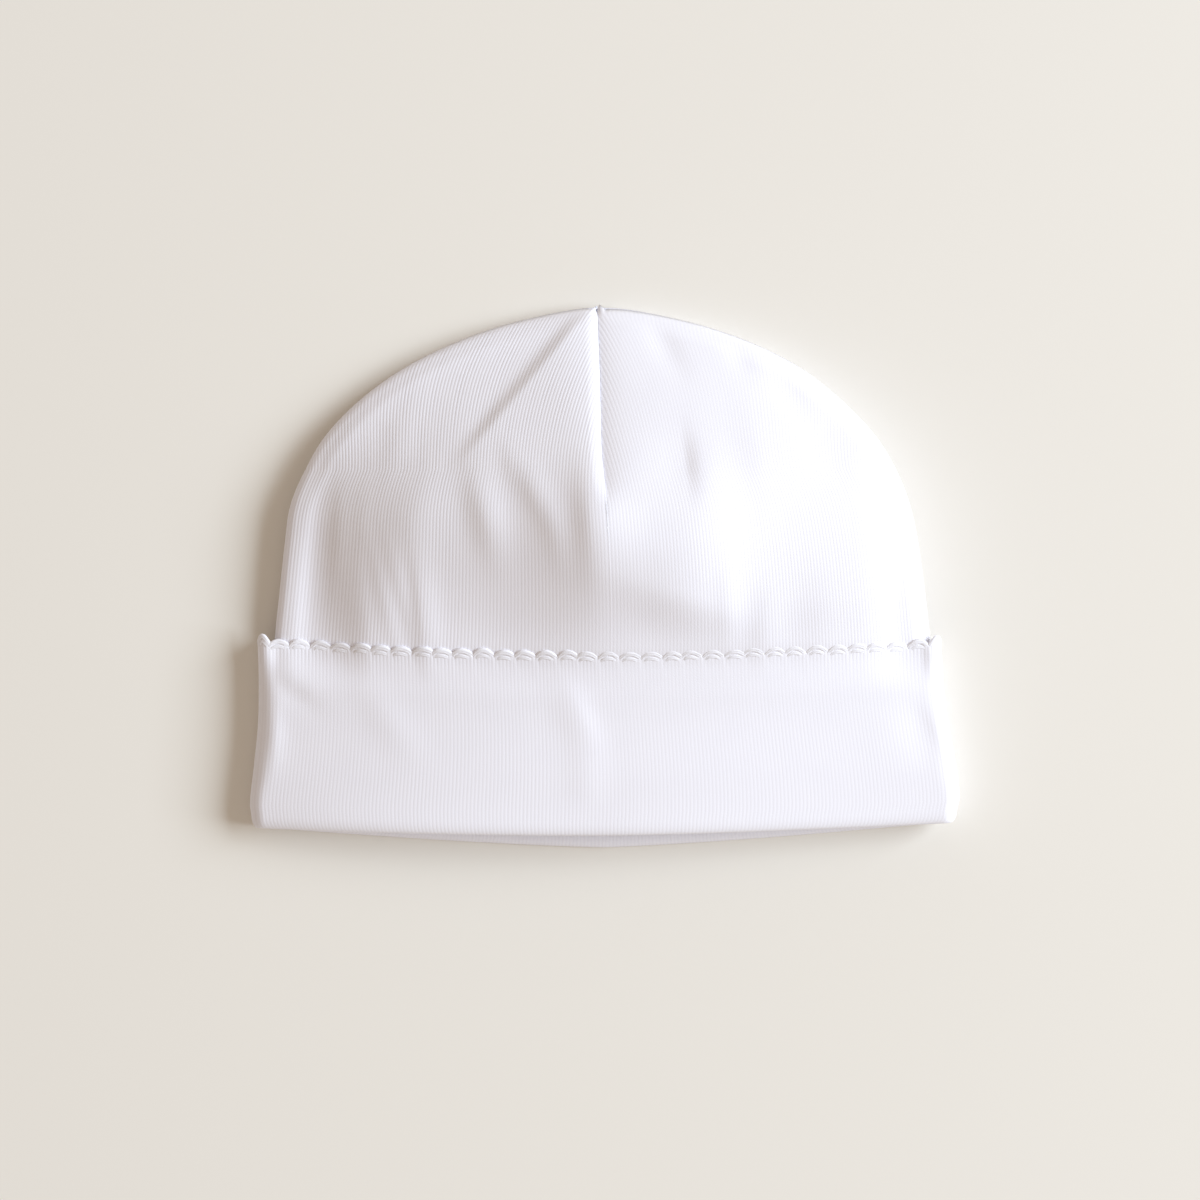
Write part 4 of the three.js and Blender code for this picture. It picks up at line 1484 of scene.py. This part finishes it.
@dataclass
class PicotEdge:
    """The looped thread along the cuff's raw edge: two arcs over each scallop, each of twisted plies."""

    cloth: LyingCloth
    edge: ScallopedEdge
    steps: int = 24
    plies: int = 3
    twists: float = 0.6
    ply_share: float = 0.68  # a ply's thickness, as a share of the thread's
    spread: float = 1.15  # how far the plies lie side by side, where 1 makes a round thread
    flatness: float = 0.1  # the same for how far they lie over and under each other
    inner_drop: float = 1.1  # how far below the outer arc the inner one lies
    inner_share: float = 0.85  # its thickness at the middle, as a share of the outer one's
    inner_sink: float = 0.02
    inner_ends: tuple[float, float] = (0.03, 0.97)  # of the half wave by which it thins to its ends
    inner_power: float = 0.7
    roundness: int = 2  # of a ply, which then has eight sides
    seed: int = 5

    def build(self, finish: bpy.types.Material) -> bpy.types.Object:
        """Makes the edging and dresses it.

        Args:
            finish: The thread.

        Returns:
            The edging, as a mesh.
        """
        draw = np.random.default_rng(self.seed)
        curve = bpy.data.curves.new("picot_thread", "CURVE")
        curve.dimensions = "3D"
        curve.bevel_depth = 1.0
        curve.bevel_resolution = self.roundness
        curve.use_fill_caps = True
        for number in range(SCALLOPS):
            phase = draw.uniform(0, 2 * math.pi)
            self._arc(curve, number, phase, is_inner=False)
            self._arc(curve, number, phase, is_inner=True)
        source = add_object("picot_source", curve)
        evaluated = source.evaluated_get(bpy.context.evaluated_depsgraph_get())
        mesh = bpy.data.meshes.new_from_object(evaluated)
        bpy.data.objects.remove(source)
        mesh.name = "picot_thread"
        shade_smooth(mesh)
        mesh.materials.clear()
        mesh.materials.append(finish)
        return add_object("picot_thread", mesh)

    def _arc(self, curve: bpy.types.Curve, number: int, phase: float, *, is_inner: bool) -> None:
        """Adds the plies of one arc over a scallop to a curve.

        Args:
            curve: What to add them to.
            number: Which scallop.
            phase: The angle at which the twist starts.
            is_inner: Whether it is the thinner arc that lies on the cloth.
        """
        rib, y, shape = self.edge.thread(number, self.steps)
        if is_inner:
            y = y - self.inner_drop
            taper = np.sin(math.pi * np.linspace(*self.inner_ends, self.steps)) ** self.inner_power
            shape["out"] = shape["out"] - self.inner_sink
            shape["radius"] = shape["radius"] * self.inner_share * taper
        along = self.cloth.sections.row_at(y)
        turn = rib / QUARTER
        offset = CUFF_FACE + shape["out"]
        centre = self.cloth.around(along, turn, offset, Layer.CUFF)
        ahead = unit(np.gradient(centre, axis=0))
        out = self.cloth.normals(along, turn, offset, Layer.CUFF)
        side = np.cross(ahead, out)
        wide = shape["radius"] * (1 - self.ply_share)
        for ply in range(self.plies):
            start = phase + 2 * math.pi * ply / self.plies
            angle = start + 2 * math.pi * self.twists * np.linspace(0, 1, self.steps)
            sideways = side * (self.spread * wide * np.cos(angle))[:, None]
            points = centre + sideways + out * (self.flatness * wide * np.sin(angle))[:, None]
            points[:, 2] = np.maximum(points[:, 2], LEAST_Z + shape["radius"] * self.ply_share)
            self._add_ply(curve, points, shape["radius"] * self.ply_share)

    def _add_ply(self, curve: bpy.types.Curve, points: Array, radius: Array) -> None:
        """Adds one ply to a curve.

        Args:
            curve: What to add it to.
            points: Its middle line, in millimetres.
            radius: Its radius at each point.
        """
        spline = curve.splines.new("POLY")
        spline.points.add(self.steps - 1)
        whole = np.concatenate([points * METRES, np.ones((self.steps, 1))], axis=1)
        spline.points.foreach_set("co", whole.ravel())
        spline.points.foreach_set("radius", radius * METRES)
        spline.use_smooth = True


@dataclass(frozen=True)
class SoftBox:
    """A rectangular light that faces the beanie: where it stands, its size, and its light."""

    bearing: float  # degrees round from +X
    elevation: float
    distance: float
    height: float
    width: float
    power: float
    colour: tuple[float, float, float]


KEY = SoftBox(
    bearing=9.0,
    elevation=31.0,
    distance=3.0,
    height=1.6,
    width=2.25,
    power=112.0,
    colour=(0.872, 0.984, 1.1),
)


@dataclass
class Studio:
    """A pale floor, a soft box low on the right, even light from all round and a camera straight above."""

    view_width: float = 0.2723
    view_centre: tuple[float, float] = (-0.0010, -0.00505)
    lens: float = 100.0
    sensor: float = 36.0
    floor_size: float = 4.0
    floor_finish: FloorPaint = FloorPaint()
    key: SoftBox = KEY
    fill_colour: tuple[float, float, float] = (1.0, 0.842, 0.701)
    fill_strength: float = 0.453

    def build(self) -> None:
        """Makes the floor, the lights and the camera."""
        bpy.context.scene.view_settings.view_transform = "Standard"
        self._floor()
        self._key_light()
        self._surroundings()
        self._camera()

    def _floor(self) -> None:
        """Makes the floor and paints it."""
        mesh = grid_mesh("floor", 3, 3, self.floor_size / 2)
        mesh.materials.append(self.floor_finish.make())
        floor = add_object("floor", mesh)

    def _key_light(self) -> None:
        """Makes the soft box."""
        light = bpy.data.lights.new("key", "AREA")
        light.shape = "RECTANGLE"
        light.size = self.key.height
        light.size_y = self.key.width
        light.energy = self.key.power
        light.color = self.key.colour
        panel = add_object("key", light)
        bearing, elevation = math.radians(self.key.bearing), math.radians(self.key.elevation)
        level = self.key.distance * math.cos(elevation)
        height = self.key.distance * math.sin(elevation)
        panel.location = (level * math.cos(bearing), level * math.sin(bearing), height)
        panel.rotation_euler = (0, math.pi / 2 - elevation, bearing)

    def _surroundings(self) -> None:
        """Makes the even light from all round."""
        world = bpy.data.worlds.new("surroundings")
        world.use_nodes = True
        background = world.node_tree.nodes["Background"]
        background.inputs["Color"].default_value = (*self.fill_colour, 1.0)
        background.inputs["Strength"].default_value = self.fill_strength
        bpy.context.scene.world = world

    def _camera(self) -> None:
        """Makes the camera, far enough up for its view to be as wide as view_width on the floor."""
        camera_data = bpy.data.cameras.new("camera")
        camera_data.lens = self.lens
        camera_data.sensor_width = self.sensor
        camera = add_object("camera", camera_data)
        camera.location = (*self.view_centre, self.view_width * self.lens / self.sensor)
        bpy.context.scene.camera = camera


def flat_cut(
    cloth: LyingCloth, layer: Layer, is_front: bool, ribs: int, bottom: float, top: float
) -> tuple[tuple[float, float], float]:
    """The size that a piece of the cloth was cut to, before it was sewn.

    Args:
        cloth: How it lies.
        layer: Which layer it belongs to.
        is_front: Whether it is the front or the back piece.
        ribs: How many ribs wide it is.
        bottom: Its lower end in Y.
        top: Its upper end.

    Returns:
        Its width and length in metres, and its area in square metres.
    """
    measured_rows = 60
    heights = np.linspace(bottom, top, measured_rows)
    rows = cloth.sections.row_at(heights)
    widths = ribs / QUARTER * cloth.quarter_length(rows, layer, np.full(rows.shape, is_front))
    area = float(np.trapz(widths, heights)) * METRES**2
    return (float(widths.max()) * METRES, (top - bottom) * METRES), area


def declare_cloth(
    cloth: LyingCloth
) -> None:
    """Works out the sizes that the crown's two pieces and the cuff's face were cut to, and does nothing
    more with them.

    Args:
        cloth: How the cloth lies.
    """
    wrap = 2 * Crown.wrap
    flat, area = flat_cut(cloth, Layer.CROWN, True, 2 * QUARTER + wrap, SPLIT_Y, POINT_Y)
    flat, area = flat_cut(cloth, Layer.CROWN, False, 2 * QUARTER - wrap, SPLIT_Y, POINT_Y)
    (width, face), _ = flat_cut(cloth, Layer.CUFF, True, RIBS, MOUTH_Y, CUFF_TOP_Y)


def main() -> None:
    """Builds the beanie and its setting."""
    logging.basicConfig(level=logging.INFO, format="%(name)s: %(message)s")
    Studio().build()
    cloth = LyingCloth()
    edge = ScallopedEdge()
    rib_knit = RibKnit().make()
    thread = PicotThread().make()
    crown = Crown(cloth).build(rib_knit)
    cuff = Cuff(cloth, edge).build(rib_knit)
    picot = PicotEdge(cloth, edge).build(thread)
    for piece in (*crown, cuff, picot):
        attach(piece, "root")
        log.info("%s: %d faces", piece.name, len(piece.data.polygons))
    for piece in crown:
        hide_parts("crown")
    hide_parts("cuff")
    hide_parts("picot_edge")
    declare_cloth(cloth)


if __name__ == "__main__":
    main()
